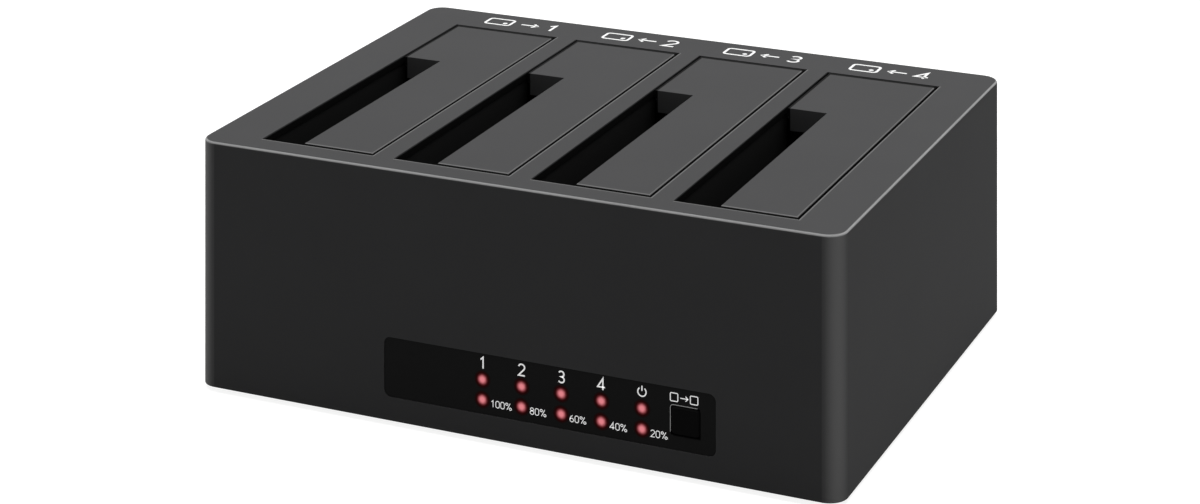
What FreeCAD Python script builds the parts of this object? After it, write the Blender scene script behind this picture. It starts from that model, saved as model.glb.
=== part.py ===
import FreeCAD
import Part
import os
import re
import Sketcher

"""Four-bay drive duplicator: a free-standing dock with spring-loaded hatches.

Millimetres. The origin is the centre of the footprint on the surface it stands on:
+X runs right along the front, +Y runs back from the front face, +Z is up.
"""

SIZES = {
    # bays and the roof over them
    "bay_width": 29.7,
    "bay_length": 104.0,
    "bridge_width": 5.7,
    "slot_width": 11.0,
    "slot_length": 72.3,
    "floor_height": 24.0,
    "well_depth": 35.6,
    # housing shell
    "wall": 2.0,
    "roof": 2.0,
    "corner_radius": 4.5,
    "edge_round": 0.7,
    "case_fit": 0.3,
    "left_flange": 9.7,
    "right_flange": 4.6,
    "rear_shelf": 10.0,
    "front_space": 2.6,
    # bay frame
    "frame_wall": 1.5,
    "frame_gap": 0.3,
    "floor_thickness": 1.5,
    "notch_depth": 12.0,
    "notch_room": 0.5,
    "vent_width": 3.0,
    "vent_length": 20.0,
    # hatches
    "flap_gap": 0.5,
    "flap_left_gap": 0.8,
    "seam_bevel": 0.25,
    "flap_thickness": 2.0,
    "skirt_inset": 0.4,
    "skirt_depth": 5.5,
    "skirt_thickness": 1.2,
    "rib_depth": 1.6,
    "rib_thickness": 1.0,
    "rib_start": 36.0,
    "rib_spacing": 18.0,
    "toe_reach": 1.2,
    "toe_thickness": 1.2,
    "toe_width": 5.0,
    "toe_inset": 3.0,
    # hatch hinges
    "hinge_inset": 0.8,
    "hinge_drop": 3.6,
    "knuckle_radius": 1.3,
    "knuckle_length": 12.0,
    "knuckle_start": 6.0,
    "web_reach": 2.7,
    "web_lip": 0.8,
    "ear_radius": 1.6,
    "ear_length": 3.0,
    "ear_gap": 0.3,
    "pin_radius": 0.6,
    "pin_seat": 0.02,
    "running_clearance": 0.06,
    "pin_end_gap": 1.5,
    "spring_wire": 0.3,
    "spring_turns": 4.0,
    "spring_radius": 1.05,
    "spring_leg": 9.0,
    "spring_hook": 2.4,
    # bottom plate, feet and screws
    "plate_thickness": 2.0,
    "plate_gap": 0.2,
    "foot_height": 1.2,
    "foot_recess": 1.0,
    "foot_radius": 6.0,
    "foot_clearance": 0.1,
    "foot_inset": 15.0,
    "corner_inset": 2.6,
    "corner_post_radius": 3.0,
    "corner_post_height": 12.0,
    "case_screw_radius": 1.1,
    "case_screw_head": 2.2,
    "case_screw_head_height": 1.1,
    "case_screw_length": 8.0,
    "small_screw_radius": 0.8,
    "small_screw_head": 1.7,
    "small_screw_head_height": 1.1,
    "small_screw_length": 5.0,
    "pilot_room": 1.0,
    "screw_clearance": 0.05,
    "frame_boss_radius": 2.0,
    "frame_boss_inset": 2.3,
    "frame_boss_setback": 8.0,
    "bottom_vent_width": 2.6,
    "bottom_vent_length": 30.0,
    "bottom_vent_pitch": 6.0,
    # circuit boards
    "board_thickness": 1.6,
    "board_standoff": 4.2,
    "board_side_gap": 9.0,
    "board_front_gap": 5.9,
    "board_back_gap": 3.4,
    "board_boss_radius": 2.5,
    "board_boss_inset": 5.0,
    "socket_board_drop": 3.5,
    "socket_board_front": 4.0,
    "socket_board_length": 60.0,
    "socket_board_side": 1.0,
    "socket_board_span": 24.0,
    "hanger_radius": 2.2,
    "hanger_offset": 20.0,
    "hanger_inset": 2.9,
    "link_length": 30.0,
    "link_width": 5.0,
    "link_inset": 12.0,
    # drive sockets
    "socket_length": 42.5,
    "socket_width": 5.9,
    "socket_height": 9.4,
    "socket_offset": 3.9,
    "socket_setback": 31.35,
    "socket_clearance": 0.4,
    "socket_slot_width": 1.6,
    "socket_slot_depth": 6.0,
    "socket_key": 1.5,
    "signal_slot_length": 10.6,
    "power_slot_length": 20.8,
    "socket_end": 4.0,
    "contact_pitch": 1.27,
    "contact_width": 0.7,
    "contact_thickness": 0.3,
    "contact_height": 5.0,
    # front window, lights and button
    "window_width": 82.7,
    "window_height": 13.95,
    "window_left": 50.1,
    "window_rise": 5.4,
    "window_corner": 1.6,
    "window_thickness": 1.0,
    "window_recess": 1.2,
    "window_gap": 0.08,
    "light_setback": 25.3,
    "light_end_room": 17.8,
    "light_rise": 3.35,
    "light_row_gap": 4.6,
    "pipe_side": 2.4,
    "pipe_gap": 0.1,
    "button_width": 6.7,
    "button_height": 6.3,
    "button_corner": 0.8,
    "button_setback": 7.35,
    "button_rise": 6.65,
    "button_gap": 0.15,
    "button_flange": 1.1,
    "button_flange_thickness": 0.7,
    "button_play": 0.05,
    "button_travel": 0.3,
    "led_board_gap": 3.0,
    "led_board_thickness": 1.2,
    "led_board_edge": 0.5,
    "led_board_lug": 5.0,
    "led_thickness": 0.8,
    "led_width": 1.6,
    "led_height": 1.2,
    "switch_width": 6.0,
    "plunger_radius": 1.5,
    "plunger_rise": 0.4,
    "plunger_depth": 0.9,
    "led_boss_radius": 2.0,
    "led_boss_inset": 5.0,
    "led_boss_outset": 1.6,
    "led_screw_end_gap": 0.4,
    "led_link_length": 12.0,
    "led_link_depth": 6.0,
    "led_link_height": 2.6,
    # rear connectors and power button
    "port_recess": 0.2,
    "port_gap": 0.2,
    "usb_setback": 50.0,
    "usb_width": 12.0,
    "usb_height": 12.0,
    "usb_depth": 16.0,
    "usb_shell": 1.0,
    "usb_cavity": 12.0,
    "usb_mouth_width": 8.6,
    "usb_mouth_height": 6.6,
    "usb_mouth_bevel": 1.6,
    "usb_step_width": 5.8,
    "usb_step_height": 2.6,
    "usb_tongue_width": 5.6,
    "usb_tongue_height": 3.0,
    "usb_tongue_length": 8.5,
    "jack_setback": 58.0,
    "jack_width": 9.0,
    "jack_height": 11.0,
    "jack_depth": 14.0,
    "jack_bore": 3.1,
    "jack_bore_depth": 10.0,
    "jack_pin": 1.2,
    "jack_pin_length": 9.0,
    "power_setback": 34.0,
    "power_width": 8.5,
    "power_body_depth": 9.0,
    "power_cap_radius": 4.0,
    "power_cap_gap": 0.25,
    "power_cap_thickness": 2.4,
    "power_stem_radius": 1.6,
    "power_stem_length": 3.6,
    "power_stem_gap": 0.1,
    "power_travel": 1.5,
    # parts on the main board
    "controller_side": 14.0,
    "bridge_chip_side": 10.0,
    "chip_height": 1.3,
    "capacitor_radius": 3.15,
    "capacitor_height": 7.0,
    "capacitor_pitch": 8.0,
    "inductor_side": 7.0,
    "inductor_height": 3.2,
    "inductor_pitch": 11.0,
    "part_row": 12.0,
}

OCTAGON_HALF_SIDE = 0.414  # of a regular octagon, over its inner radius
KNUCKLE_CHORD = 0.7  # where a web meets its round knuckle, over the knuckle's radius

# Places worked out from the sizes. "place" names may use one another.
PLACES = {
    "bay_pitch": "bay_width + bridge_width",
    "side_gap": "wall + case_fit",
    "frame_edge": "frame_gap + frame_wall",
    "left_margin": "side_gap + left_flange + frame_edge",
    "right_margin": "side_gap + right_flange + bridge_width - frame_gap",
    "front_margin": "side_gap + front_space + frame_edge",
    "back_margin": "side_gap + rear_shelf + frame_edge",
    "case_width": "left_margin + 4 * bay_width + 3 * bridge_width + right_margin",
    "case_depth": "front_margin + bay_length + back_margin",
    "case_left": "-case_width / 2",
    "case_right": "case_width / 2",
    "case_front": "-case_depth / 2",
    "case_back": "case_depth / 2",
    "case_top": "floor_height + well_depth",
    "roof_under": "case_top - roof",
    "first_bay": "case_left + left_margin",
    "bay_front": "case_front + front_margin",
    "bay_back": "bay_front + bay_length",
    "inner_left": "case_left + wall",
    "inner_right": "case_right - wall",
    "inner_front": "case_front + wall",
    "inner_back": "case_back - wall",
    "frame_left": "first_bay - frame_edge",
    "frame_right": "first_bay + 4 * bay_pitch - frame_gap",
    "frame_front": "bay_front - frame_edge",
    "frame_back": "bay_back + frame_edge",
    "floor_under": "floor_height - floor_thickness",
    "frame_top": "roof_under - case_fit",
    "hinge_across": "bay_width + hinge_inset",
    "knuckle_flat": f"knuckle_radius * {KNUCKLE_CHORD}",
    "ear_flat": f"ear_radius * {OCTAGON_HALF_SIDE}",
    "knuckle_spacing": "bay_length - 2 * knuckle_start - knuckle_length",
    "toe_depth": "roof + case_fit",
    "toe_spacing": "bay_length - slot_length - 2 * toe_inset - toe_width",
    "plate_top": "foot_height + plate_thickness",
    "main_board_under": "plate_top + board_standoff",
    "main_board_top": "main_board_under + board_thickness",
    "main_board_left": "inner_left + board_side_gap",
    "main_board_right": "inner_right - board_side_gap",
    "main_board_front": "inner_front + board_front_gap",
    "main_board_back": "inner_back - board_back_gap",
    "socket_board_top": "floor_under - socket_board_drop",
    "socket_board_under": "socket_board_top - board_thickness",
    "window_start": "case_left + window_left",
    "window_end": "window_start + window_width",
    "window_low": "foot_height + window_rise",
    "window_high": "window_low + window_height",
    "window_back": "case_front + window_recess",
    "light_start": "window_start + light_setback",
    "light_low": "window_low + light_rise",
    "light_pitch": "(window_width - light_setback - light_end_room) / 4",
    "button_across": "window_end - button_setback",
    "button_up": "window_low + button_rise",
    "led_board_front": "inner_front + led_board_gap",
    "led_board_back": "led_board_front + led_board_thickness",
    "led_boss_start": "window_start + led_boss_inset",
    "led_boss_up": "(window_low + window_high) / 2",
    "led_boss_span": "window_width - led_boss_inset + led_boss_outset",
    "port_face": "case_back - port_recess",
    "usb_across": "case_left + usb_setback",
    "jack_across": "case_right - jack_setback",
    "power_across": "case_right - power_setback",
    "power_up": "main_board_top + power_width / 2",
    "stem_mouth": "port_face - power_cap_thickness - power_travel - power_stem_gap",
}
BAYS = "abcd"

document = FreeCAD.newDocument("drive_duplicator")
sheet = document.addObject("Spreadsheet::Sheet", "sizes")
for row, (alias, size) in enumerate(SIZES.items(), 1):
    sheet.set(f"A{row}", alias)
    sheet.set(f"B{row}", str(size))
    sheet.setAlias(f"B{row}", alias)
document.recompute()


# ---- formulas, sketches and features ---------------------------------------------

def formula(text):
    """Write out the places in a formula and point its other names at the sheet."""
    def write_out(match):
        word = match.group()
        if word in PLACES:
            return f"({formula(PLACES[word])})"
        return f"sizes.{word}"
    return re.sub(r"[a-z]+(_[a-z]+)*", write_out, text)


def value(text):
    """The number that a formula gives now."""
    return float(sheet.evalExpression(formula(text)))


def bind_place(thing, *place):
    """Tie an object's position to three formulas."""
    for axis, text in zip("xyz", place):
        thing.setExpression(f"Placement.Base.{axis}", formula(text))


def new_body(name, *place):
    """A body, with its position tied to formulas where it isn't at the origin."""
    body = document.addObject("PartDesign::Body", name)
    body.Label = name
    body.AllowCompound = True
    if place:
        bind_place(body, *place)
    return body


def origin_part(body, role):
    """One of a body's own origin planes or axes."""
    return next(part for part in body.Origin.OriginFeatures if part.Role == role)


def new_sketch(body, name, plane, offset="0"):
    """A sketch on a body's origin plane, moved along the plane's normal."""
    sketch = body.newObject("Sketcher::SketchObject", name)
    sketch.AttachmentSupport = (origin_part(body, plane + "_Plane"), [""])
    sketch.MapMode = "FlatFace"
    sketch.setExpression("AttachmentOffset.Base.z", formula(offset))
    return sketch


def dimension(sketch, kind, where, text):
    """A driving constraint tied to a formula."""
    size = value(text)
    index = sketch.addConstraint(Sketcher.Constraint(kind, *where, size))
    sketch.setExpression(f"Constraints[{index}]", formula(text))


def point_at(sketch, edge, end, across, up):
    """Fix one end or centre of a sketch edge at two formulas."""
    dimension(sketch, "DistanceX", (-1, 1, edge, end), across)
    dimension(sketch, "DistanceY", (-1, 1, edge, end), up)


def draw_polygon(sketch, corners):
    """A closed outline of straight edges through corners given as formulas."""
    places = [FreeCAD.Vector(value(across), value(up), 0) for across, up in corners]
    ends = places[1:] + places[:1]
    edges = [sketch.addGeometry(Part.LineSegment(*pair)) for pair in zip(places, ends)]
    for edge, follower in zip(edges, edges[1:] + edges[:1]):
        sketch.addConstraint(Sketcher.Constraint("Coincident", edge, 2, follower, 1))
    for edge, (across, up) in zip(edges, corners):
        point_at(sketch, edge, 1, across, up)


def draw_rectangle(sketch, left, low, right, high):
    draw_polygon(sketch, [(left, low), (right, low), (right, high), (left, high)])


def add_feature(body, kind, name, sketch, length, flip=False):
    """A pad or pocket of a sketch; flip sends it the other way."""
    feature = body.newObject(f"PartDesign::{kind}", name)
    feature.Profile = sketch
    feature.setExpression("Length", formula(length))
    feature.Reversed = flip
    sketch.Visibility = False
    return feature


def add_block(body, name, low, size, kind="Additive"):
    """A box feature from its low corner; kind is Additive or Subtractive."""
    block = body.newObject(f"PartDesign::{kind}Box", name)
    for side, text in zip(("Length", "Width", "Height"), size):
        block.setExpression(side, formula(text))
    bind_place(block, *low)
    return block


def upright_turn(axis):
    """The placement that turns an upright round feature to point along +X, +Y or +Z."""
    direction = {"x": (1, 0, 0), "y": (0, 1, 0), "z": (0, 0, 1)}[axis]
    turn = FreeCAD.Rotation(FreeCAD.Vector(0, 0, 1), FreeCAD.Vector(*direction))
    return FreeCAD.Placement(FreeCAD.Vector(), turn)


def add_rod(body, name, axis, start, radius, length, kind="Additive"):
    """A cylinder feature from its start point along +X, +Y or +Z."""
    rod = body.newObject(f"PartDesign::{kind}Cylinder", name)
    rod.Placement = upright_turn(axis)
    rod.setExpression("Radius", formula(radius))
    rod.setExpression("Height", formula(length))
    bind_place(rod, *start)
    return rod


def repeat(body, name, feature, *directions):
    """Copies of the newest feature; a direction is an axis, a step formula and a count."""
    pattern = body.newObject("PartDesign::LinearPattern", name)
    pattern.Originals = [feature]
    for suffix, (axis, step, count) in zip(("", "2"), directions):
        setattr(pattern, f"Direction{suffix}", (origin_part(body, axis + "_Axis"), [""]))
        setattr(pattern, f"Mode{suffix}", "Extent")
        pattern.setExpression(f"Length{suffix}", formula(f"({step}) * {count - 1}"))
        setattr(pattern, f"Occurrences{suffix}", count)
    body.Tip = pattern


def dress(body, kind, name, size, wanted):
    """Fillet or chamfer the edges of the body so far that pass the wanted test."""
    document.recompute()
    base = body.Tip
    edges = [f"Edge{n}" for n, edge in enumerate(base.Shape.Edges, 1) if wanted(edge)]
    feature = body.newObject(f"PartDesign::{kind}", name)
    feature.Base = (base, edges)
    feature.setExpression("Radius" if kind == "Fillet" else "Size", formula(size))
    return feature


def runs_along(edge, axis):
    """Whether a straight edge is parallel to x, y or z."""
    if not isinstance(edge.Curve, Part.Line):
        return False
    return abs(abs(getattr(edge.Curve.Direction, axis)) - 1) < 1e-6


def lies_at(edge, axis, place):
    """Whether an edge lies wholly in one plane."""
    low = getattr(edge.BoundBox, axis.upper() + "Min")
    high = getattr(edge.BoundBox, axis.upper() + "Max")
    return abs(low - place) < 1e-4 and abs(high - place) < 1e-4


# ---- housing ---------------------------------------------------------------------

def top_housing():
    """The one-piece outer shell: roof with four bay openings, walls, bosses and hinge ears."""
    body = new_body("top_housing")
    outline = new_sketch(body, "outer_outline", "XY", "foot_height")
    draw_rectangle(outline, "case_left", "case_front", "case_right", "case_back")
    add_feature(body, "Pad", "outer_block", outline, "case_top - foot_height")
    dress(body, "Fillet", "outer_corners", "corner_radius", lambda e: runs_along(e, "z"))
    top = value("case_top")
    dress(body, "Fillet", "top_edge", "edge_round", lambda e: lies_at(e, "z", top))

    inner = new_sketch(body, "inner_outline", "XY", "foot_height")
    draw_rectangle(inner, "inner_left", "inner_front", "inner_right", "inner_back")
    add_feature(body, "Pocket", "hollow", inner, "roof_under - foot_height", flip=True)
    under = value("roof_under")
    middle = value("case_width / 2 - wall")
    dress(body, "Fillet", "inner_corners", "corner_radius - wall",
          lambda e: runs_along(e, "z") and abs(abs(e.BoundBox.Center.x) - middle) < 1e-4
          and e.BoundBox.ZMax < under + 1e-4)

    opening = new_sketch(body, "bay_outline", "XY", "case_top")
    draw_rectangle(opening, "first_bay", "bay_front", "first_bay + bay_width", "bay_back")
    cut = add_feature(body, "Pocket", "bay_opening", opening, "roof")
    repeat(body, "bay_openings", cut, ("X", "bay_pitch", 4))
    front = value("bay_front")
    rights = [value(f"first_bay + bay_width + {number} * bay_pitch") for number in range(4)]
    dress(body, "Chamfer", "opening_bevels", "seam_bevel",
          lambda e: lies_at(e, "z", top) and (lies_at(e, "y", front)
                                              or any(lies_at(e, "x", right) for right in rights)))

    housing_bosses(body)
    hinge_ears(body)
    front_apertures(body)
    rear_apertures(body)
    return body


def housing_bosses(body):
    """Posts that take the screws of the bottom plate, bay frame and light board."""
    post = add_rod(body, "corner_post", "z",
                   ("inner_left + corner_inset", "inner_front + corner_inset", "plate_top"),
                   "corner_post_radius", "corner_post_height")
    spans = ("inner_right - inner_left - 2 * corner_inset",
             "inner_back - inner_front - 2 * corner_inset")
    repeat(body, "corner_posts", post, ("X", spans[0], 2), ("Y", spans[1], 2))
    pilot = add_rod(body, "corner_pilot", "z",
                    ("inner_left + corner_inset", "inner_front + corner_inset", "plate_top"),
                    "case_screw_radius + screw_clearance", "case_screw_length", "Subtractive")
    repeat(body, "corner_pilots", pilot, ("X", spans[0], 2), ("Y", spans[1], 2))

    across = "inner_left + frame_boss_inset"
    along = "bay_front + frame_boss_setback"
    boss = add_rod(body, "frame_boss", "z", (across, along, "floor_height"),
                   "frame_boss_radius", "roof_under - floor_height")
    spans = ("inner_right - inner_left - 2 * frame_boss_inset",
             "bay_length - 2 * frame_boss_setback")
    repeat(body, "frame_bosses", boss, ("X", spans[0], 2), ("Y", spans[1], 2))
    pilot = add_rod(body, "frame_pilot", "z", (across, along, "floor_height"),
                    "small_screw_radius + screw_clearance", "small_screw_length + pilot_room",
                    "Subtractive")
    repeat(body, "frame_pilots", pilot, ("X", spans[0], 2), ("Y", spans[1], 2))

    first = ("led_boss_start", "inner_front", "led_boss_up")
    boss = add_rod(body, "light_board_boss", "y", first, "led_boss_radius", "led_board_gap")
    repeat(body, "light_board_bosses", boss, ("X", "led_boss_span", 2))
    pilot = add_rod(body, "light_board_pilot", "y", first, "small_screw_radius + screw_clearance",
                    "led_board_gap", "Subtractive")
    repeat(body, "light_board_pilots", pilot, ("X", "led_boss_span", 2))


def hinge_ears(body):
    """Pairs of ears under the roof, beside each hatch knuckle, with one bore for the pin."""
    axis = "first_bay + hinge_across"
    height = "case_top - hinge_drop"
    starts = ("bay_front + knuckle_start - ear_gap - ear_length",
              "bay_front + knuckle_start + knuckle_length + ear_gap")
    for start in starts:
        profile = new_sketch(body, "ear_profile", "XZ", f"-({start})")
        low = f"{height} - ear_radius"
        draw_polygon(profile, [
            (f"{axis} - hinge_inset", "case_top - roof / 2"),
            (f"{axis} - hinge_inset", f"{height} + ear_flat + ear_radius - hinge_inset"),
            (f"{axis} - ear_radius", f"{height} + ear_flat"),
            (f"{axis} - ear_radius", f"{height} - ear_flat"),
            (f"{axis} - ear_flat", low), (f"{axis} + ear_flat", low),
            (f"{axis} + ear_radius", f"{height} - ear_flat"),
            (f"{axis} + ear_radius", "case_top - roof / 2")])
        ear = add_feature(body, "Pad", "ear", profile, "ear_length", flip=True)
        repeat(body, "ears", ear, ("X", "bay_pitch", 4), ("Y", "knuckle_spacing", 2))
    bore = add_rod(body, "ear_bore", "y", (axis, "bay_front", height),
                   "pin_radius + pin_seat", "bay_length", "Subtractive")
    repeat(body, "ear_bores", bore, ("X", "bay_pitch", 4))


def front_apertures(body):
    """The window's shallow seat, the light holes and the button's hole."""
    seat = new_sketch(body, "window_seat_outline", "XZ", "-case_front")
    draw_rectangle(seat, "window_start", "window_low", "window_end", "window_high")
    add_feature(body, "Pocket", "window_seat", seat, "window_recess")
    low = value("window_low")
    high = value("window_high")
    dress(body, "Fillet", "window_seat_corners", "window_corner + window_gap",
          lambda e: runs_along(e, "y") and e.BoundBox.YMax < value("window_back") + 1e-4
          and min(abs(e.BoundBox.ZMin - low), abs(e.BoundBox.ZMin - high)) < 1e-4)
    side = "pipe_side + 2 * pipe_gap"
    hole = add_block(body, "light_hole",
                     (f"light_start - ({side}) / 2", "case_front", f"light_low - ({side}) / 2"),
                     (side, "wall", side), "Subtractive")
    repeat(body, "light_holes", hole, ("X", "light_pitch", 5), ("Z", "light_row_gap", 2))
    add_block(body, "button_hole",
              ("button_across - button_width / 2 - button_gap", "case_front",
               "button_up - button_height / 2 - button_gap"),
              ("button_width + 2 * button_gap", "wall", "button_height + 2 * button_gap"),
              "Subtractive")


def rear_apertures(body):
    """Openings in the back wall for the data port, power inlet and power button."""
    ports = (("usb_hole", "usb_across", "usb_width", "usb_height"),
             ("jack_hole", "jack_across", "jack_width", "jack_height"))
    for name, across, width, height in ports:
        add_block(body, name,
                  (f"{across} - {width} / 2 - port_gap", "inner_back", "main_board_top - port_gap"),
                  (f"{width} + 2 * port_gap", "wall", f"{height} + 2 * port_gap"), "Subtractive")
    add_rod(body, "power_button_hole", "y", ("power_across", "inner_back", "power_up"),
            "power_cap_radius + power_cap_gap", "wall", "Subtractive")


def bottom_plate():
    """The flat lid under the shell, with board standoffs, foot recesses and vents."""
    body = new_body("bottom_plate")
    outline = new_sketch(body, "plate_outline", "XY", "foot_height")
    draw_rectangle(outline, "inner_left + plate_gap", "inner_front + plate_gap",
                   "inner_right - plate_gap", "inner_back - plate_gap")
    add_feature(body, "Pad", "plate", outline, "plate_thickness")
    dress(body, "Fillet", "plate_corners", "corner_radius - wall - plate_gap",
          lambda e: runs_along(e, "z"))

    first = ("main_board_left + board_boss_inset", "main_board_front + board_boss_inset")
    spans = ("main_board_right - main_board_left - 2 * board_boss_inset",
             "main_board_back - main_board_front - 2 * board_boss_inset")
    boss = add_rod(body, "board_boss", "z", (*first, "foot_height + plate_thickness / 2"),
                   "board_boss_radius", "board_standoff + plate_thickness / 2")
    repeat(body, "board_bosses", boss, ("X", spans[0], 2), ("Y", spans[1], 2))
    pilot = add_rod(body, "board_pilot", "z", (*first, "plate_top"),
                    "small_screw_radius + screw_clearance", "board_standoff", "Subtractive")
    repeat(body, "board_pilots", pilot, ("X", spans[0], 2), ("Y", spans[1], 2))

    first = ("case_left + foot_inset", "case_front + foot_inset")
    spans = ("case_width - 2 * foot_inset", "case_depth - 2 * foot_inset")
    seat = add_rod(body, "foot_seat", "z", (*first, "foot_height"),
                   "foot_radius + foot_clearance", "foot_recess", "Subtractive")
    repeat(body, "foot_seats", seat, ("X", spans[0], 2), ("Y", spans[1], 2))

    first = ("inner_left + corner_inset", "inner_front + corner_inset")
    spans = ("inner_right - inner_left - 2 * corner_inset",
             "inner_back - inner_front - 2 * corner_inset")
    hole = add_rod(body, "case_screw_hole", "z", (*first, "foot_height"),
                   "case_screw_radius + screw_clearance", "plate_thickness", "Subtractive")
    repeat(body, "case_screw_holes", hole, ("X", spans[0], 2), ("Y", spans[1], 2))
    sink = add_rod(body, "case_screw_sink", "z", (*first, "foot_height"),
                   "case_screw_head + screw_clearance", "case_screw_head_height", "Subtractive")
    repeat(body, "case_screw_sinks", sink, ("X", spans[0], 2), ("Y", spans[1], 2))

    columns = 15
    vent = add_block(body, "vent",
                     (f"-{(columns - 1) / 2} * bottom_vent_pitch - bottom_vent_width / 2",
                      "-bottom_vent_length - bottom_vent_pitch / 2", "foot_height"),
                     ("bottom_vent_width", "bottom_vent_length", "plate_thickness"), "Subtractive")
    repeat(body, "vents", vent, ("X", "bottom_vent_pitch", columns),
           ("Y", "bottom_vent_length + bottom_vent_pitch", 2))
    return body


def rubber_feet():
    """Four round pads in the plate's recesses."""
    body = new_body("rubber_feet")
    foot = add_rod(body, "foot", "z", ("case_left + foot_inset", "case_front + foot_inset", "0"),
                   "foot_radius", "foot_height + foot_recess")
    repeat(body, "feet", foot, ("X", "case_width - 2 * foot_inset", 2),
           ("Y", "case_depth - 2 * foot_inset", 2))
    dress(body, "Chamfer", "foot_rims", "foot_height / 2", lambda e: lies_at(e, "z", 0))
    return body


# ---- bay frame -------------------------------------------------------------------

def bay_frame():
    """The inner moulding: one floor and the upright walls that make the four wells."""
    body = new_body("bay_frame")
    add_block(body, "floor",
              ("inner_left + case_fit", "frame_front", "floor_under"),
              ("inner_right - inner_left - 2 * case_fit",
               "inner_back - case_fit - frame_front", "floor_thickness"))
    dress(body, "Fillet", "floor_corners", "corner_radius - wall",
          lambda e: runs_along(e, "z") and e.BoundBox.YMin > 0)
    height = "frame_top - floor_under"
    partition = add_block(body, "partition", ("frame_left", "frame_front", "floor_under"),
                          ("frame_wall", "frame_back - frame_front", height))
    repeat(body, "partitions", partition, ("X", "bay_pitch", 5))
    end = add_block(body, "front_wall", ("frame_left", "frame_front", "floor_under"),
                    ("frame_right - frame_left", "frame_wall", height))
    repeat(body, "end_walls", end, ("Y", "bay_length + 2 * frame_gap + frame_wall", 2))

    notch_low = "case_top - notch_depth"
    room = "case_fit + notch_room"
    notch = add_block(body, "toe_notch",
                      ("frame_left", f"bay_front + slot_length + toe_inset - ({room})", notch_low),
                      ("frame_edge", f"toe_width + 2 * ({room})",
                       "frame_top - case_top + notch_depth"), "Subtractive")
    repeat(body, "toe_notches", notch, ("X", "bay_pitch", 4), ("Y", "toe_spacing", 2))

    window = add_block(body, "socket_window",
                       ("first_bay + socket_offset - socket_width / 2 - socket_clearance",
                        "bay_front + socket_setback - socket_length / 2 - socket_clearance",
                        "floor_under"),
                       ("socket_width + 2 * socket_clearance",
                        "socket_length + 2 * socket_clearance", "floor_thickness"), "Subtractive")
    repeat(body, "socket_windows", window, ("X", "bay_pitch", 4))
    for column in range(2):
        across = f"first_bay + socket_offset + socket_width + {2 * column + 1} * vent_width"
        vent = add_block(body, "floor_vent",
                         (across, "bay_front + 2 * frame_boss_setback", "floor_under"),
                         ("vent_width", "vent_length", "floor_thickness"), "Subtractive")
        repeat(body, "floor_vents", vent, ("X", "bay_pitch", 4),
               ("Y", "vent_length + 2 * vent_width", 3))

    hanger = add_rod(body, "hanger", "z",
                     ("first_bay + hanger_offset", "bay_front + socket_board_front + hanger_inset",
                      "socket_board_top"), "hanger_radius", "socket_board_drop")
    spans = ("3 * bay_pitch", "socket_board_length - 2 * hanger_inset")
    repeat(body, "hangers", hanger, ("X", spans[0], 2), ("Y", spans[1], 2))
    pilot = add_rod(body, "hanger_pilot", "z",
                    ("first_bay + hanger_offset", "bay_front + socket_board_front + hanger_inset",
                     "socket_board_top"), "small_screw_radius + screw_clearance",
                    "socket_board_drop", "Subtractive")
    repeat(body, "hanger_pilots", pilot, ("X", spans[0], 2), ("Y", spans[1], 2))

    hole = add_rod(body, "frame_hole", "z",
                   ("inner_left + frame_boss_inset", "bay_front + frame_boss_setback",
                    "floor_under"), "small_screw_radius + screw_clearance", "floor_thickness",
                   "Subtractive")
    repeat(body, "frame_holes", hole,
           ("X", "inner_right - inner_left - 2 * frame_boss_inset", 2),
           ("Y", "bay_length - 2 * frame_boss_setback", 2))
    return body


# ---- hatches ---------------------------------------------------------------------

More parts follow.
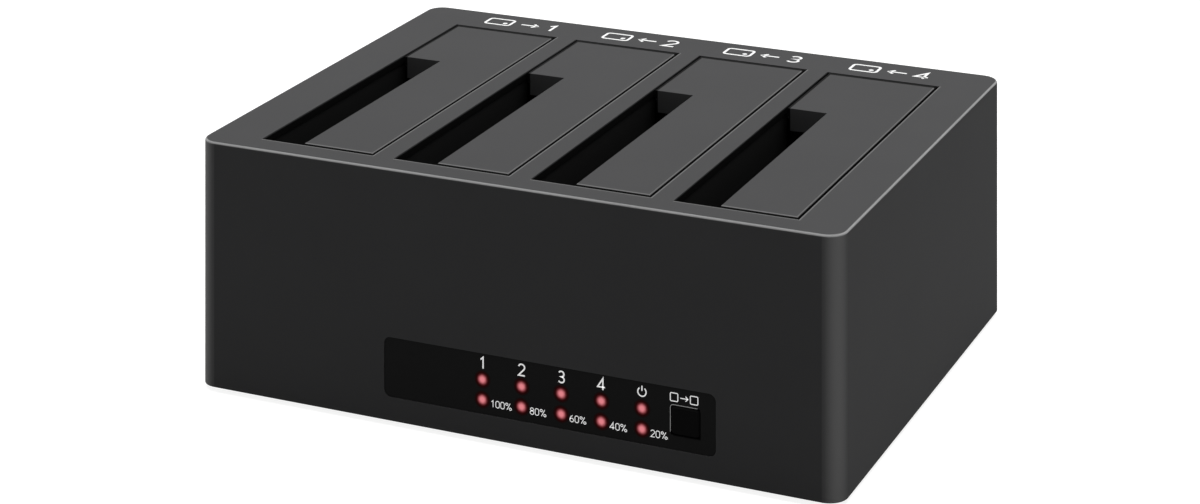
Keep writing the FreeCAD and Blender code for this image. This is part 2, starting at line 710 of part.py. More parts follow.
def drive_flap(letter, bay):
    """An L-shaped hatch: plate, skirt along its notch, ribs, stop toes and hinge knuckles."""
    body = new_body(f"drive_flap_{letter}", bay, "bay_front", "case_top")
    far = "bay_width - flap_gap"
    back = "bay_length - flap_gap"
    outline = new_sketch(body, "plate_outline", "XY", "-flap_thickness")
    draw_polygon(outline, [("slot_width", "flap_gap"), (far, "flap_gap"), (far, back),
                           ("flap_left_gap", back), ("flap_left_gap", "slot_length"),
                           ("slot_width", "slot_length")])
    add_feature(body, "Pad", "plate", outline, "flap_thickness")
    front = value("flap_gap")
    right = value(far)
    dress(body, "Chamfer", "plate_bevels", "seam_bevel",
          lambda e: lies_at(e, "z", 0) and (lies_at(e, "y", front) or lies_at(e, "x", right)))

    skirt = new_sketch(body, "skirt_outline", "XY", "-skirt_depth")
    left = "flap_left_gap + skirt_inset"
    draw_polygon(skirt, [("slot_width", "flap_gap + skirt_inset"),
                         ("slot_width + skirt_thickness", "flap_gap + skirt_inset"),
                         ("slot_width + skirt_thickness", "slot_length + skirt_thickness"),
                         (left, "slot_length + skirt_thickness"), (left, "slot_length"),
                         ("slot_width", "slot_length")])
    add_feature(body, "Pad", "skirt", skirt, "skirt_depth - flap_thickness / 2")

    rib = add_block(body, "rib",
                    ("slot_width + skirt_thickness / 2", "rib_start",
                     "-flap_thickness - rib_depth"),
                    ("hinge_across - slot_width - skirt_thickness / 2 - web_reach - rib_depth",
                     "rib_thickness", "rib_depth + flap_thickness / 2"))
    repeat(body, "ribs", rib, ("Y", "rib_spacing", 3))

    toe = add_block(body, "toe",
                    ("-toe_reach", "slot_length + toe_inset", "-toe_depth - toe_thickness"),
                    ("toe_reach + flap_left_gap + toe_thickness", "toe_width", "toe_thickness"))
    repeat(body, "toes", toe, ("Y", "toe_spacing", 2))
    neck = add_block(body, "toe_neck",
                     ("flap_left_gap", "slot_length + toe_inset", "-toe_depth - toe_thickness"),
                     ("toe_thickness", "toe_width",
                      "toe_depth + toe_thickness - flap_thickness / 2"))
    repeat(body, "toe_necks", neck, ("Y", "toe_spacing", 2))

    web = new_sketch(body, "web_profile", "XZ", "-knuckle_start")
    reach = "hinge_across - web_reach"
    draw_polygon(web, [(reach, "-flap_thickness / 2"), (far, "-flap_thickness / 2"),
                       (far, "-flap_thickness"),
                       ("hinge_across", "-hinge_drop + knuckle_flat"),
                       ("hinge_across", "-hinge_drop - knuckle_flat"),
                       ("hinge_across - knuckle_flat", "-hinge_drop - knuckle_flat"),
                       (reach, "-flap_thickness - web_lip")])
    gooseneck = add_feature(body, "Pad", "gooseneck", web, "knuckle_length", flip=True)
    repeat(body, "goosenecks", gooseneck, ("Y", "knuckle_spacing", 2))
    knuckle = add_rod(body, "knuckle", "y", ("hinge_across", "knuckle_start", "-hinge_drop"),
                      "knuckle_radius", "knuckle_length")
    repeat(body, "knuckles", knuckle, ("Y", "knuckle_spacing", 2))
    add_rod(body, "pin_bore", "y", ("hinge_across", "0", "-hinge_drop"),
            "pin_radius + running_clearance", "bay_length", "Subtractive")
    return body


def flap_pin(letter, bay):
    """The steel pin that a hatch turns on."""
    body = new_body(f"flap_pin_{letter}", f"{bay} + hinge_across", "bay_front + pin_end_gap",
                    "case_top - hinge_drop")
    add_rod(body, "shaft", "y", ("0", "0", "0"), "pin_radius", "bay_length - 2 * pin_end_gap")
    return body


def flap_spring(letter, bay):
    """A close-wound torsion spring round the pin, one leg under the roof, one under the hatch."""
    start = "knuckle_start + knuckle_length + 2 * ear_gap + ear_length"
    body = new_body(f"flap_spring_{letter}", f"{bay} + hinge_across", f"bay_front + {start}",
                    "case_top - hinge_drop")
    length = "spring_turns * 2 * spring_wire"
    add_rod(body, "coil", "y", ("0", "0", "0"), "spring_radius + spring_wire", length)
    add_rod(body, "bore", "y", ("0", "0", "0"), "spring_radius - spring_wire", length,
            "Subtractive")
    leg_height = "spring_radius - spring_wire / 4"
    add_rod(body, "roof_leg", "x", ("0", "spring_wire", leg_height), "spring_wire", "spring_hook")
    add_rod(body, "flap_leg", "x", ("-spring_leg", f"{length} - spring_wire", leg_height),
            "spring_wire", "spring_leg")
    return body


# ---- drive sockets and boards ----------------------------------------------------

def sata_socket(letter, bay):
    """An upright combined data and power socket with two keyed slots."""
    body = new_body(f"sata_socket_{letter}",
                    f"{bay} + socket_offset", "bay_front + socket_setback", "socket_board_top")
    add_block(body, "moulding",
              ("-socket_width / 2", "-socket_length / 2", "0"),
              ("socket_width", "socket_length", "socket_height"))
    dress(body, "Chamfer", "lead_in", "socket_slot_width / 4",
          lambda e: lies_at(e, "z", value("socket_height")))
    starts = ("socket_end - socket_length / 2",
              "socket_length / 2 - socket_end - power_slot_length")
    lengths = ("signal_slot_length", "power_slot_length")
    half = "socket_slot_width / 2"
    for name, start, length in zip(("signal_slot", "power_slot"), starts, lengths):
        profile = new_sketch(body, name + "_outline", "XY", "socket_height")
        stop = f"{start} + {length}"
        draw_polygon(profile, [(f"-{half}", start), (half, start), (half, f"{stop} - {half} * 2"),
                               (f"{half} + socket_key", f"{stop} - {half} * 2"),
                               (f"{half} + socket_key", stop), (f"-{half}", stop)])
        add_feature(body, "Pocket", name, profile, "socket_slot_depth")
    return body


def sata_contacts():
    """The rows of spring contacts in the slots of all four sockets."""
    body = new_body("sata_contacts", "first_bay + socket_offset", "bay_front + socket_setback",
                    "socket_board_top + socket_height - socket_slot_depth")
    size = ("contact_thickness", "contact_width", "contact_height")
    rows = (("signal_contact", "socket_end - socket_length / 2", 7),
            ("power_contact", "socket_length / 2 - socket_end - power_slot_length", 15))
    for name, start, count in rows:
        strip = add_block(body, name,
                          ("-socket_slot_width / 2", f"{start} + contact_width", "0"), size)
        repeat(body, name + "s", strip, ("Y", "contact_pitch", count), ("X", "bay_pitch", 4))
    return body


def socket_board():
    """The board under the bay floor that carries the four sockets."""
    body = new_body("socket_board")
    first = ("first_bay - socket_board_side", "bay_front + socket_board_front")
    add_block(body, "laminate", (*first, "socket_board_under"),
              ("3 * bay_pitch + socket_board_span + socket_board_side", "socket_board_length",
               "board_thickness"))
    hole = add_rod(body, "screw_hole", "z",
                   ("first_bay + hanger_offset", "bay_front + socket_board_front + hanger_inset",
                    "socket_board_under"), "small_screw_radius + screw_clearance",
                   "board_thickness", "Subtractive")
    repeat(body, "screw_holes", hole, ("X", "3 * bay_pitch", 2),
           ("Y", "socket_board_length - 2 * hanger_inset", 2))
    return body


def main_board():
    """The lower board with the duplicator's controller and the rear connectors."""
    body = new_body("main_board")
    add_block(body, "laminate",
              ("main_board_left", "main_board_front", "main_board_under"),
              ("main_board_right - main_board_left", "main_board_back - main_board_front",
               "board_thickness"))
    hole = add_rod(body, "screw_hole", "z",
                   ("main_board_left + board_boss_inset", "main_board_front + board_boss_inset",
                    "main_board_under"), "small_screw_radius + screw_clearance",
                   "board_thickness", "Subtractive")
    repeat(body, "screw_holes", hole,
           ("X", "main_board_right - main_board_left - 2 * board_boss_inset", 2),
           ("Y", "main_board_back - main_board_front - 2 * board_boss_inset", 2))
    return body


def board_link():
    """The stacking header that joins the two boards."""
    back = "bay_front + socket_board_front + socket_board_length"
    body = new_body("board_link", "-link_length / 2", f"{back} - link_inset", "main_board_top")
    add_block(body, "header", ("0", "0", "0"),
              ("link_length", "link_width", "socket_board_under - main_board_top"))
    return body


def control_chips():
    """The controller and two bridge chips, flat on the main board."""
    body = new_body("control_chips")
    add_block(body, "controller", ("-controller_side / 2", "part_row", "main_board_top"),
              ("controller_side", "controller_side", "chip_height"))
    chip = add_block(body, "bridge_chip",
                     ("-controller_side * 3", "-part_row * 2", "main_board_top"),
                     ("bridge_chip_side", "bridge_chip_side", "chip_height"))
    repeat(body, "bridge_chips", chip, ("X", "controller_side * 5", 2))
    return body


def capacitors():
    """A row of can capacitors by the power inlet."""
    body = new_body("capacitors")
    can = add_rod(body, "can", "z", ("jack_across - capacitor_pitch * 0.5",
                  "main_board_back - jack_depth - part_row", "main_board_top"),
                  "capacitor_radius", "capacitor_height")
    repeat(body, "cans", can, ("X", "capacitor_pitch", 4))
    return body


def inductors():
    """Square power inductors of the drive supply."""
    body = new_body("inductors")
    coil = add_block(body, "coil", ("jack_across - capacitor_pitch * 0.5",
                     "main_board_back - jack_depth - part_row * 2.5", "main_board_top"),
                     ("inductor_side", "inductor_side", "inductor_height"))
    repeat(body, "coils", coil, ("X", "inductor_pitch", 3))
    return body


# ---- front window, lights and clone button ---------------------------------------

def front_window():
    """The flush dark window over the lights, with the button's square hole."""
    body = new_body("front_window")
    outline = new_sketch(body, "outline", "XZ", "-window_back")
    draw_rectangle(outline, "window_start + window_gap", "window_low + window_gap",
                   "window_end - window_gap", "window_high - window_gap")
    add_feature(body, "Pad", "sheet", outline, "window_thickness")
    dress(body, "Fillet", "corners", "window_corner", lambda e: runs_along(e, "y"))
    add_block(body, "button_hole",
              ("button_across - button_width / 2 - button_gap", "case_front",
               "button_up - button_height / 2 - button_gap"),
              ("button_width + 2 * button_gap", "window_recess",
               "button_height + 2 * button_gap"), "Subtractive")
    return body


def light_pipes():
    """Ten short square light pipes from the lights to the back of the window."""
    body = new_body("light_pipes")
    pipe = add_block(body, "pipe",
                     ("light_start - pipe_side / 2", "window_back", "light_low - pipe_side / 2"),
                     ("pipe_side", "led_board_front - led_thickness - window_back", "pipe_side"))
    repeat(body, "pipes", pipe, ("X", "light_pitch", 5), ("Z", "light_row_gap", 2))
    return body


def status_leds():
    """Ten surface-mount lights."""
    body = new_body("status_leds")
    chip = add_block(body, "chip",
                     ("light_start - led_width / 2", "led_board_front - led_thickness",
                      "light_low - led_height / 2"), ("led_width", "led_thickness", "led_height"))
    repeat(body, "chips", chip, ("X", "light_pitch", 5), ("Z", "light_row_gap", 2))
    return body


def led_board():
    """The upright board behind the window."""
    body = new_body("led_board")
    left = "window_start + led_board_edge"
    add_block(body, "laminate", (left, "led_board_front", "window_low - led_board_edge"),
              ("window_width - led_board_edge + led_board_lug", "led_board_thickness",
               "window_height + 2 * led_board_edge"))
    hole = add_rod(body, "screw_hole", "y", ("led_boss_start", "led_board_front", "led_boss_up"),
                   "small_screw_radius + screw_clearance", "led_board_thickness", "Subtractive")
    repeat(body, "screw_holes", hole, ("X", "led_boss_span", 2))
    return body


def led_link():
    """The angled header between the light board and the main board."""
    body = new_body("led_link", "-led_link_length / 2", "led_board_back", "main_board_top")
    add_block(body, "header", ("0", "0", "0"),
              ("led_link_length", "led_link_depth", "led_link_height"))
    return body


def clone_button():
    """The square push button, with a flange that keeps it in the front wall."""
    body = new_body("clone_button", "button_across", "case_front", "button_up")
    outline = new_sketch(body, "cap_outline", "XZ")
    draw_rectangle(outline, "-button_width / 2", "-button_height / 2",
                   "button_width / 2", "button_height / 2")
    add_feature(body, "Pad", "cap", outline,
                "wall + button_play + button_flange_thickness", flip=True)
    dress(body, "Fillet", "cap_corners", "button_corner", lambda e: runs_along(e, "y"))
    dress(body, "Chamfer", "cap_rim", "button_corner / 2", lambda e: lies_at(e, "y", 0))
    add_block(body, "flange",
              ("-button_width / 2 - button_flange", "wall + button_play",
               "-button_height / 2 - button_flange"),
              ("button_width + 2 * button_flange", "button_flange_thickness",
               "button_height + 2 * button_flange"))
    return body


def clone_switch_body():
    """The tactile switch on the light board, bored for its plunger."""
    thickness = "led_board_gap - button_play - button_flange_thickness - plunger_rise"
    body = new_body("clone_switch_body", "button_across", "led_board_front", "button_up")
    add_block(body, "case", ("-switch_width / 2", f"-({thickness})", "-switch_width / 2"),
              ("switch_width", thickness, "switch_width"))
    add_rod(body, "plunger_bore", "y", ("0", f"-({thickness})", "0"),
            "plunger_radius + running_clearance", "plunger_depth + button_travel + button_play * 2",
            "Subtractive")
    return body


def clone_switch_plunger():
    """The switch's plunger, which the button's flange pushes."""
    body = new_body("clone_switch_plunger", "button_across",
                    "inner_front + button_play + button_flange_thickness", "button_up")
    add_rod(body, "plunger", "y", ("0", "0", "0"), "plunger_radius",
            "plunger_rise + plunger_depth")
    return body


# ---- rear connectors and power button --------------------------------------------

def usb_port_shell():
    """The square data port's metal shell, with its stepped mouth."""
    body = new_body("usb_port_shell", "usb_across", "port_face", "main_board_top")
    add_block(body, "can", ("-usb_width / 2", "-usb_depth", "0"),
              ("usb_width", "usb_depth", "usb_height"))
    mouth = new_sketch(body, "mouth_outline", "XZ")
    half = "usb_mouth_width / 2"
    top = "usb_shell + usb_mouth_height"
    draw_polygon(mouth, [(f"-{half}", "usb_shell"), (half, "usb_shell"),
                         (half, f"{top} - usb_mouth_bevel"), (f"{half} - usb_mouth_bevel", top),
                         ("usb_step_width / 2", top), ("usb_step_width / 2", f"{top} + usb_step_height"),
                         ("-usb_step_width / 2", f"{top} + usb_step_height"),
                         ("-usb_step_width / 2", top), (f"-({half} - usb_mouth_bevel)", top),
                         (f"-{half}", f"{top} - usb_mouth_bevel")])
    add_feature(body, "Pocket", "mouth", mouth, "usb_cavity", flip=True)
    return body


def usb_port_tongue():
    """The contact tongue at the bottom of the port's mouth."""
    body = new_body("usb_port_tongue", "usb_across", "port_face - usb_cavity",
                    "main_board_top + usb_shell")
    low = "(usb_mouth_height - usb_tongue_height) / 2"
    add_block(body, "tongue", ("-usb_tongue_width / 2", "0", low),
              ("usb_tongue_width", "usb_tongue_length", "usb_tongue_height"))
    return body


def dc_jack_body():
    """The power inlet's square body with its round bore."""
    body = new_body("dc_jack_body", "jack_across", "port_face", "main_board_top")
    add_block(body, "case", ("-jack_width / 2", "-jack_depth", "0"),
              ("jack_width", "jack_depth", "jack_height"))
    add_rod(body, "bore", "y", ("0", "-jack_bore_depth", "jack_height / 2"),
            "jack_bore", "jack_bore_depth", "Subtractive")
    return body


def dc_jack_pin():
    """The inlet's centre pin."""
    body = new_body("dc_jack_pin", "jack_across", "port_face - jack_bore_depth",
                    "main_board_top + jack_height / 2")
    add_rod(body, "pin", "y", ("0", "0", "0"), "jack_pin", "jack_pin_length")
    dress(body, "Chamfer", "tip", "jack_pin / 2",
          lambda e: lies_at(e, "y", value("jack_pin_length")))
    return body


def power_switch_body():
    """The latching switch behind the power button, bored for its stem."""
    body = new_body("power_switch_body", "power_across", "stem_mouth", "power_up")
    add_block(body, "case", ("-power_width / 2", "-power_body_depth", "-power_width / 2"),
              ("power_width", "power_body_depth", "power_width"))
    add_rod(body, "stem_bore", "y", ("0", "-power_stem_length - power_travel", "0"),
            "power_stem_radius + power_stem_gap", "power_stem_length + power_travel", "Subtractive")
    return body


def power_button():
    """The round button cap and the stem that slides in the switch."""
    body = new_body("power_button", "power_across", "port_face", "power_up")
    add_rod(body, "cap", "y", ("0", "-power_cap_thickness", "0"),
            "power_cap_radius", "power_cap_thickness")
    dress(body, "Chamfer", "cap_rim", "port_recess * 2", lambda e: lies_at(e, "y", 0))
    stem = "power_stem_gap + power_stem_length"
    add_rod(body, "stem", "y", ("0", f"-power_cap_thickness - ({stem})", "0"),
            "power_stem_radius", stem)
    return body


# ---- screws ----------------------------------------------------------------------

def add_screws(body, axis, seat, sizes, *directions):
    """Screws that enter along +axis; seat is under the first one's head."""
    radius, head, head_height, length = sizes
    low = dict(zip("xyz", seat))
    head_start = dict(low)
    head_start[axis] = f"{low[axis]} - {head_height}"
    cap = add_rod(body, "head", axis, head_start.values(), head, head_height)
    repeat(body, "heads", cap, *directions)
    shank = add_rod(body, "shank", axis, low.values(), radius, length)
    repeat(body, "shanks", shank, *directions)


def case_screws():
    """Four screws that hold the bottom plate to the shell's corner posts."""
    body = new_body("case_screws")
    seat = ("inner_left + corner_inset", "inner_front + corner_inset",
            "foot_height + case_screw_head_height")
    sizes = ("case_screw_radius", "case_screw_head", "case_screw_head_height",
             "case_screw_length")
    add_screws(body, "z", seat, sizes, ("X", "inner_right - inner_left - 2 * corner_inset", 2),
               ("Y", "inner_back - inner_front - 2 * corner_inset", 2))
    return body


SMALL_SCREW = ("small_screw_radius", "small_screw_head", "small_screw_head_height",
               "small_screw_length")


def frame_screws():
    """Four screws up through the bay frame's flanges."""
    body = new_body("frame_screws")
    seat = ("inner_left + frame_boss_inset", "bay_front + frame_boss_setback", "floor_under")
    add_screws(body, "z", seat, SMALL_SCREW,
               ("X", "inner_right - inner_left - 2 * frame_boss_inset", 2),
               ("Y", "bay_length - 2 * frame_boss_setback", 2))
    return body


def socket_board_screws():
    """Four screws up through the socket board into the bay frame."""
    body = new_body("socket_board_screws")
    seat = ("first_bay + hanger_offset", "bay_front + socket_board_front + hanger_inset",
            "socket_board_under")
    add_screws(body, "z", seat, SMALL_SCREW, ("X", "3 * bay_pitch", 2),
               ("Y", "socket_board_length - 2 * hanger_inset", 2))
    return body


def main_board_screws():
    """Four screws down through the main board into the bottom plate."""
    body = new_body("main_board_screws", "main_board_left + board_boss_inset",
                    "main_board_front + board_boss_inset", "main_board_top")
    spans = (("X", "main_board_right - main_board_left - 2 * board_boss_inset", 2),
             ("Y", "main_board_back - main_board_front - 2 * board_boss_inset", 2))
    head = add_rod(body, "head", "z", ("0", "0", "0"), "small_screw_head",
                   "small_screw_head_height")
    repeat(body, "heads", head, *spans)
    shank = add_rod(body, "shank", "z", ("0", "0", "-small_screw_length"),
                    "small_screw_radius", "small_screw_length")
    repeat(body, "shanks", shank, *spans)
    return body


def led_board_screws():
    """Two screws forward through the light board into the front wall's bosses."""
    body = new_body("led_board_screws", "led_boss_start", "led_board_back", "led_boss_up")
    span = ("X", "led_boss_span", 2)
    head = add_rod(body, "head", "y", ("0", "0", "0"), "small_screw_head",
                   "small_screw_head_height")
    repeat(body, "heads", head, span)
    length = "led_board_thickness + led_board_gap - led_screw_end_gap"
    shank = add_rod(body, "shank", "y", ("0", f"-({length})", "0"), "small_screw_radius", length)
    repeat(body, "shanks", shank, span)
    return body


# ---- the whole object ------------------------------------------------------------

single_parts = (top_housing, bottom_plate, rubber_feet, bay_frame, sata_contacts, socket_board,
                main_board, board_link, control_chips, capacitors, inductors, front_window,
                light_pipes, status_leds, led_board, led_link, clone_button, clone_switch_body,
                clone_switch_plunger, usb_port_shell, usb_port_tongue, dc_jack_body, dc_jack_pin,
                power_switch_body, power_button, case_screws, frame_screws,
                socket_board_screws, main_board_screws, led_board_screws)
bay_parts = (drive_flap, flap_pin, flap_spring, sata_socket)

subparts = [make() for make in single_parts]
for number, letter in enumerate(BAYS):
    bay = f"first_bay + {number} * bay_pitch"
    subparts += [make(letter, bay) for make in bay_parts]
document.recompute()

for thing in document.Objects:
    if "Invalid" in thing.State or "Error" in thing.State:
        raise RuntimeError(f"{thing.Label}: {thing.State}")
for subpart in subparts:
    if subpart.Shape.isNull() or not subpart.Shape.isValid():
        raise RuntimeError(f"{subpart.Label} has no valid shape")

os.makedirs("parts", exist_ok=True)
for subpart in subparts:
    subpart.Shape.exportStep(f"parts/{subpart.Label}.step")
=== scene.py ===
import math

import bpy
from mathutils import Matrix, Vector


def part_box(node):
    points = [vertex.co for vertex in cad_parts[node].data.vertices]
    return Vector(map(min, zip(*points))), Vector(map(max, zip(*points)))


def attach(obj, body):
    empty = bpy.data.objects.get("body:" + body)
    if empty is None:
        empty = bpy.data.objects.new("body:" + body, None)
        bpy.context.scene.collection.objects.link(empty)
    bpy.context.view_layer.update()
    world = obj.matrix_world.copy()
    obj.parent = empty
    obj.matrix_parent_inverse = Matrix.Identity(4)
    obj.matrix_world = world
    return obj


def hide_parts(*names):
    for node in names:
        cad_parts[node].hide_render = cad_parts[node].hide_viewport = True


# A free-standing four-bay drive duplicator: finishes, legends and lights on its CAD frame.
# Metres; +X runs right along the front, +Y runs back from it, +Z is up.

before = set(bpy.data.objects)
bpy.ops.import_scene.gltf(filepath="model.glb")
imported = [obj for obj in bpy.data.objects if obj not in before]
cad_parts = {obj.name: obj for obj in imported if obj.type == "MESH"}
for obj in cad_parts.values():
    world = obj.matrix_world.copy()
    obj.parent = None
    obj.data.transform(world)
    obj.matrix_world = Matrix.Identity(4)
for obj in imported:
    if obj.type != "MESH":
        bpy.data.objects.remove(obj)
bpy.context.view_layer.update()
MM = 0.001
BAYS = "abcd"

HOUSING_LOW, HOUSING_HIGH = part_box("top_housing")
WINDOW_LOW, WINDOW_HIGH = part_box("front_window")
BUTTON_LOW, BUTTON_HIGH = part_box("clone_button")
LIGHTS_LOW, LIGHTS_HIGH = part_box("light_pipes")
PIPE_SIDE = 2.4 * MM
LIGHT_COLUMNS = 5
FIRST_LIGHT = LIGHTS_LOW.x + PIPE_SIDE / 2
LIGHT_PITCH = (LIGHTS_HIGH.x - LIGHTS_LOW.x - PIPE_SIDE) / (LIGHT_COLUMNS - 1)
LIGHT_ROWS = (LIGHTS_LOW.z + PIPE_SIDE / 2, LIGHTS_HIGH.z - PIPE_SIDE / 2)
BUTTON_WIDTH = 6.7 * MM
BUTTON_HEIGHT = 6.3 * MM
BUTTON_ACROSS = (BUTTON_LOW.x + BUTTON_HIGH.x) / 2
BUTTON_UP = (BUTTON_LOW.z + BUTTON_HIGH.z) / 2
INK = 0.015 * MM

# The bays, from the hatches that stand in them and the pins beside their right edges.
FLAP_LOW, FLAP_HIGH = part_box("drive_flap_a")
PIN_LOW, PIN_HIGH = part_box("flap_pin_a")
BAY_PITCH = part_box("flap_pin_b")[0].x - PIN_LOW.x
FLAP_GAP = 0.5 * MM
LEFT_GAP = 0.8 * MM
HINGE_INSET = 0.8 * MM
BAY_WIDTH = 29.7 * MM
BAY_RIGHT = (PIN_LOW.x + PIN_HIGH.x) / 2 - HINGE_INSET
BAY_FRONT = FLAP_LOW.y - FLAP_GAP
BAY_BACK = FLAP_HIGH.y + FLAP_GAP

# How the housing, the hatches and the bay frame look.
HOUSING_TONE = (0.055, 0.055, 0.056)
HOUSING_ROUGHNESS = 0.55
HOUSING_SHINE = 0.012
# A painted highlight on the case's top edge rounds.
EDGE_HIGHLIGHT_TONE = (0.36, 0.36, 0.36)
# A painted highlight on the case's rounded upright corners.
CORNER_HIGHLIGHT_TONE = (0.175, 0.175, 0.175)
# A painted highlight beside the seams, on the roof and on the hatches.
RIM_HIGHLIGHT_TONE = (0.125, 0.125, 0.125)
# Painted shade over the hatches' edges, where the seams are dark.
SEAM_SHADOW_TONE = (0.004, 0.004, 0.004)
# Painted shade on the case's faces that lie inside its outer faces.
INNER_SHADE_TONE = (0.004, 0.004, 0.004)
FRAME_TONE = (0.0095, 0.0095, 0.01)
WALL_TONE = (0.011, 0.011, 0.011)

# How wide the painted highlights beside the seams are, and how far the painted shade of a seam
# reaches over each side of a hatch.
HIGHLIGHT_WIDTH = 0.6 * MM
HATCH_HIGHLIGHT = 0.3 * MM
SEAM_SHADE = 0.5 * MM
LEFT_SHADE = 0.6 * MM
RIGHT_SHADE = 0.12 * MM
BACK_SHADE = 1.2 * MM

# The part of a unit normal along an axis, from which a face counts as square to it or as tilted.
SQUARE = 0.9
TILTED = 0.3

# Light. A lamp: its place, its width and height in metres and its power in watts.
AMBIENT = 0.235
FLOOR_TONE = (0.3, 0.3, 0.3)
FLOOR_GLOW = 0.88
LAMP_TARGET = (0, 0, 0.03)
LAMPS = {
    "overhead": ((0, 0.2, 1.3), 1.4, 1.4, 25),
    "left": ((-1.15, 0.1, 0.35), 0.7, 0.5, 3),
    "right": ((1.15, 0.05, 0.35), 0.7, 0.5, 0.5),
}


# ---- camera, floor and light -----------------------------------------------------

def link(thing):
    bpy.context.scene.collection.objects.link(thing)
    return thing


def make_camera():
    """A camera whose picture plane stays upright, so that upright edges stay parallel."""
    yaw = -23.714
    pitch = -19.98
    lens = 94.82
    place = Vector((292.19, -673.29, 290.63)) * MM
    across = Vector((math.cos(math.radians(yaw)), -math.sin(math.radians(yaw)), 0))
    ahead = Vector((math.sin(math.radians(yaw)), math.cos(math.radians(yaw)), 0))
    up = Vector((0, 0, 1))
    view = ahead * math.cos(math.radians(pitch)) + up * math.sin(math.radians(pitch))
    shear = Matrix((across, up, -view)).transposed().to_4x4()
    shear.translation = place
    rail = link(bpy.data.objects.new("rail", None))
    camera = link(bpy.data.objects.new("camera", bpy.data.cameras.new("camera")))
    camera.parent = rail
    camera.matrix_parent_inverse = shear
    camera.data.lens = lens
    camera.data.sensor_width = 36
    camera.data.clip_start = 0.01
    camera.data.clip_end = 20
    bpy.context.scene.camera = camera
    bpy.context.scene.view_settings.view_transform = "Standard"


def softbox(name, place, target, width, height, power):
    """A rectangular soft lamp that faces a point."""
    lamp = link(bpy.data.objects.new(name, bpy.data.lights.new(name, "AREA")))
    lamp.data.shape = "RECTANGLE"
    lamp.data.size = width
    lamp.data.size_y = height
    lamp.data.energy = power
    lamp.location = place
    lamp.rotation_mode = "QUATERNION"
    lamp.rotation_quaternion = (Vector(target) - Vector(place)).to_track_quat("-Z", "Y")


class Tree:
    """Short calls for building a node tree."""

    def __init__(self, tree):
        self.tree = tree
        tree.nodes.clear()

    def node(self, kind, inputs=None, **settings):
        made = self.tree.nodes.new(kind)
        for setting, value in settings.items():
            setattr(made, setting, value)
        for socket, value in (inputs or {}).items():
            self.put(made.inputs[socket], value)
        return made

    def put(self, socket, value):
        """Link an output to a socket, or set the socket's own value."""
        if isinstance(value, bpy.types.NodeSocket):
            self.tree.links.new(value, socket)
            return
        own = socket.default_value
        if hasattr(own, "__len__") and len(own) == 4 and len(value) == 3:
            value = (*value, 1)
        socket.default_value = value

    def math(self, operation, first, second=0.0, clamp=False):
        made = self.node("ShaderNodeMath", {0: first, 1: second}, operation=operation)
        made.use_clamp = clamp
        return made.outputs[0]

    def mix(self, factor, first, second):
        """A colour between two colours."""
        made = self.node("ShaderNodeMix", data_type="RGBA")
        self.put(made.inputs[0], factor)
        self.put(made.inputs[6], first)
        self.put(made.inputs[7], second)
        return made.outputs[2]

    def spread(self, value, low, high):
        """A 0 to 1 value spread over a range."""
        made = self.node("ShaderNodeMapRange", {0: value, 3: low, 4: high})
        return made.outputs[0]

    def smooth(self, value, start, end):
        """0 before start, 1 after end, smooth between."""
        made = self.node("ShaderNodeMapRange", {0: value, 1: start, 2: end},
                         interpolation_type="SMOOTHSTEP")
        return made.outputs[0]

    def place(self):
        """Where a point is on the piece, in metres."""
        return self.node("ShaderNodeTexCoord").outputs["Object"]

    def noise(self, scale, detail=2.0, roughness=0.5, vector=None):
        made = self.node("ShaderNodeTexNoise", {"Vector": vector or self.place(), "Scale": scale,
                                                "Detail": detail, "Roughness": roughness})
        return made.outputs["Fac"]

    def background_rays(self):
        """1 for the rays that show the background: camera, glossy and transmission."""
        path = self.node("ShaderNodeLightPath").outputs
        seen = self.math("MAXIMUM", path["Is Camera Ray"], path["Is Glossy Ray"])
        return self.math("MAXIMUM", seen, path["Is Transmission Ray"])


def make_world():
    """White behind the object, and a soft grey light on it."""
    world = bpy.data.worlds.new("world")
    world.use_nodes = True
    bpy.context.scene.world = world
    tree = Tree(world.node_tree)
    colour = tree.mix(tree.background_rays(), (AMBIENT,) * 3, (1, 1, 1))
    background = tree.node("ShaderNodeBackground", {"Color": colour})
    tree.node("ShaderNodeOutputWorld", {"Surface": background.outputs[0]})


def make_floor():
    """A pale floor that keeps the object's shadow."""
    half = 3.0
    mesh = bpy.data.meshes.new("floor")
    mesh.from_pydata([(-half, -half, 0), (half, -half, 0), (half, half, 0), (-half, half, 0)],
                     [], [(0, 1, 2, 3)])
    floor = link(bpy.data.objects.new("floor", mesh))
    material = bpy.data.materials.new("floor")
    material.use_nodes = True
    tree = Tree(material.node_tree)
    lit = tree.node("ShaderNodeBsdfDiffuse", {"Color": FLOOR_TONE})
    seen = tree.math("MULTIPLY", tree.background_rays(), FLOOR_GLOW)
    glow = tree.node("ShaderNodeEmission", {"Strength": seen})
    added = tree.node("ShaderNodeAddShader")
    tree.put(added.inputs[0], lit.outputs[0])
    tree.put(added.inputs[1], glow.outputs[0])
    output = tree.node("ShaderNodeOutputMaterial")
    tree.put(output.inputs[0], added.outputs[0])
    mesh.materials.append(material)


def make_lights():
    for name, (place, width, height, power) in LAMPS.items():
        softbox(name, place, LAMP_TARGET, width, height, power)


# ---- materials -------------------------------------------------------------------

MATERIALS = {}


def finish(name, make):
    """The material of that name, made the first time it is asked for."""
    if name not in MATERIALS:
        material = bpy.data.materials.new(name)
        material.use_nodes = True
        tree = Tree(material.node_tree)
        shader = tree.node("ShaderNodeBsdfPrincipled")
        output = tree.node("ShaderNodeOutputMaterial")
        tree.put(output.inputs[0], shader.outputs[0])
        make(tree, shader)
        MATERIALS[name] = material
    return MATERIALS[name]


def bump(tree, shader, height, depth):
    """Relief of that depth in metres."""
    made = tree.node("ShaderNodeBump", {"Strength": 1.0, "Distance": depth, "Height": height})
    tree.put(shader.inputs["Normal"], made.outputs[0])


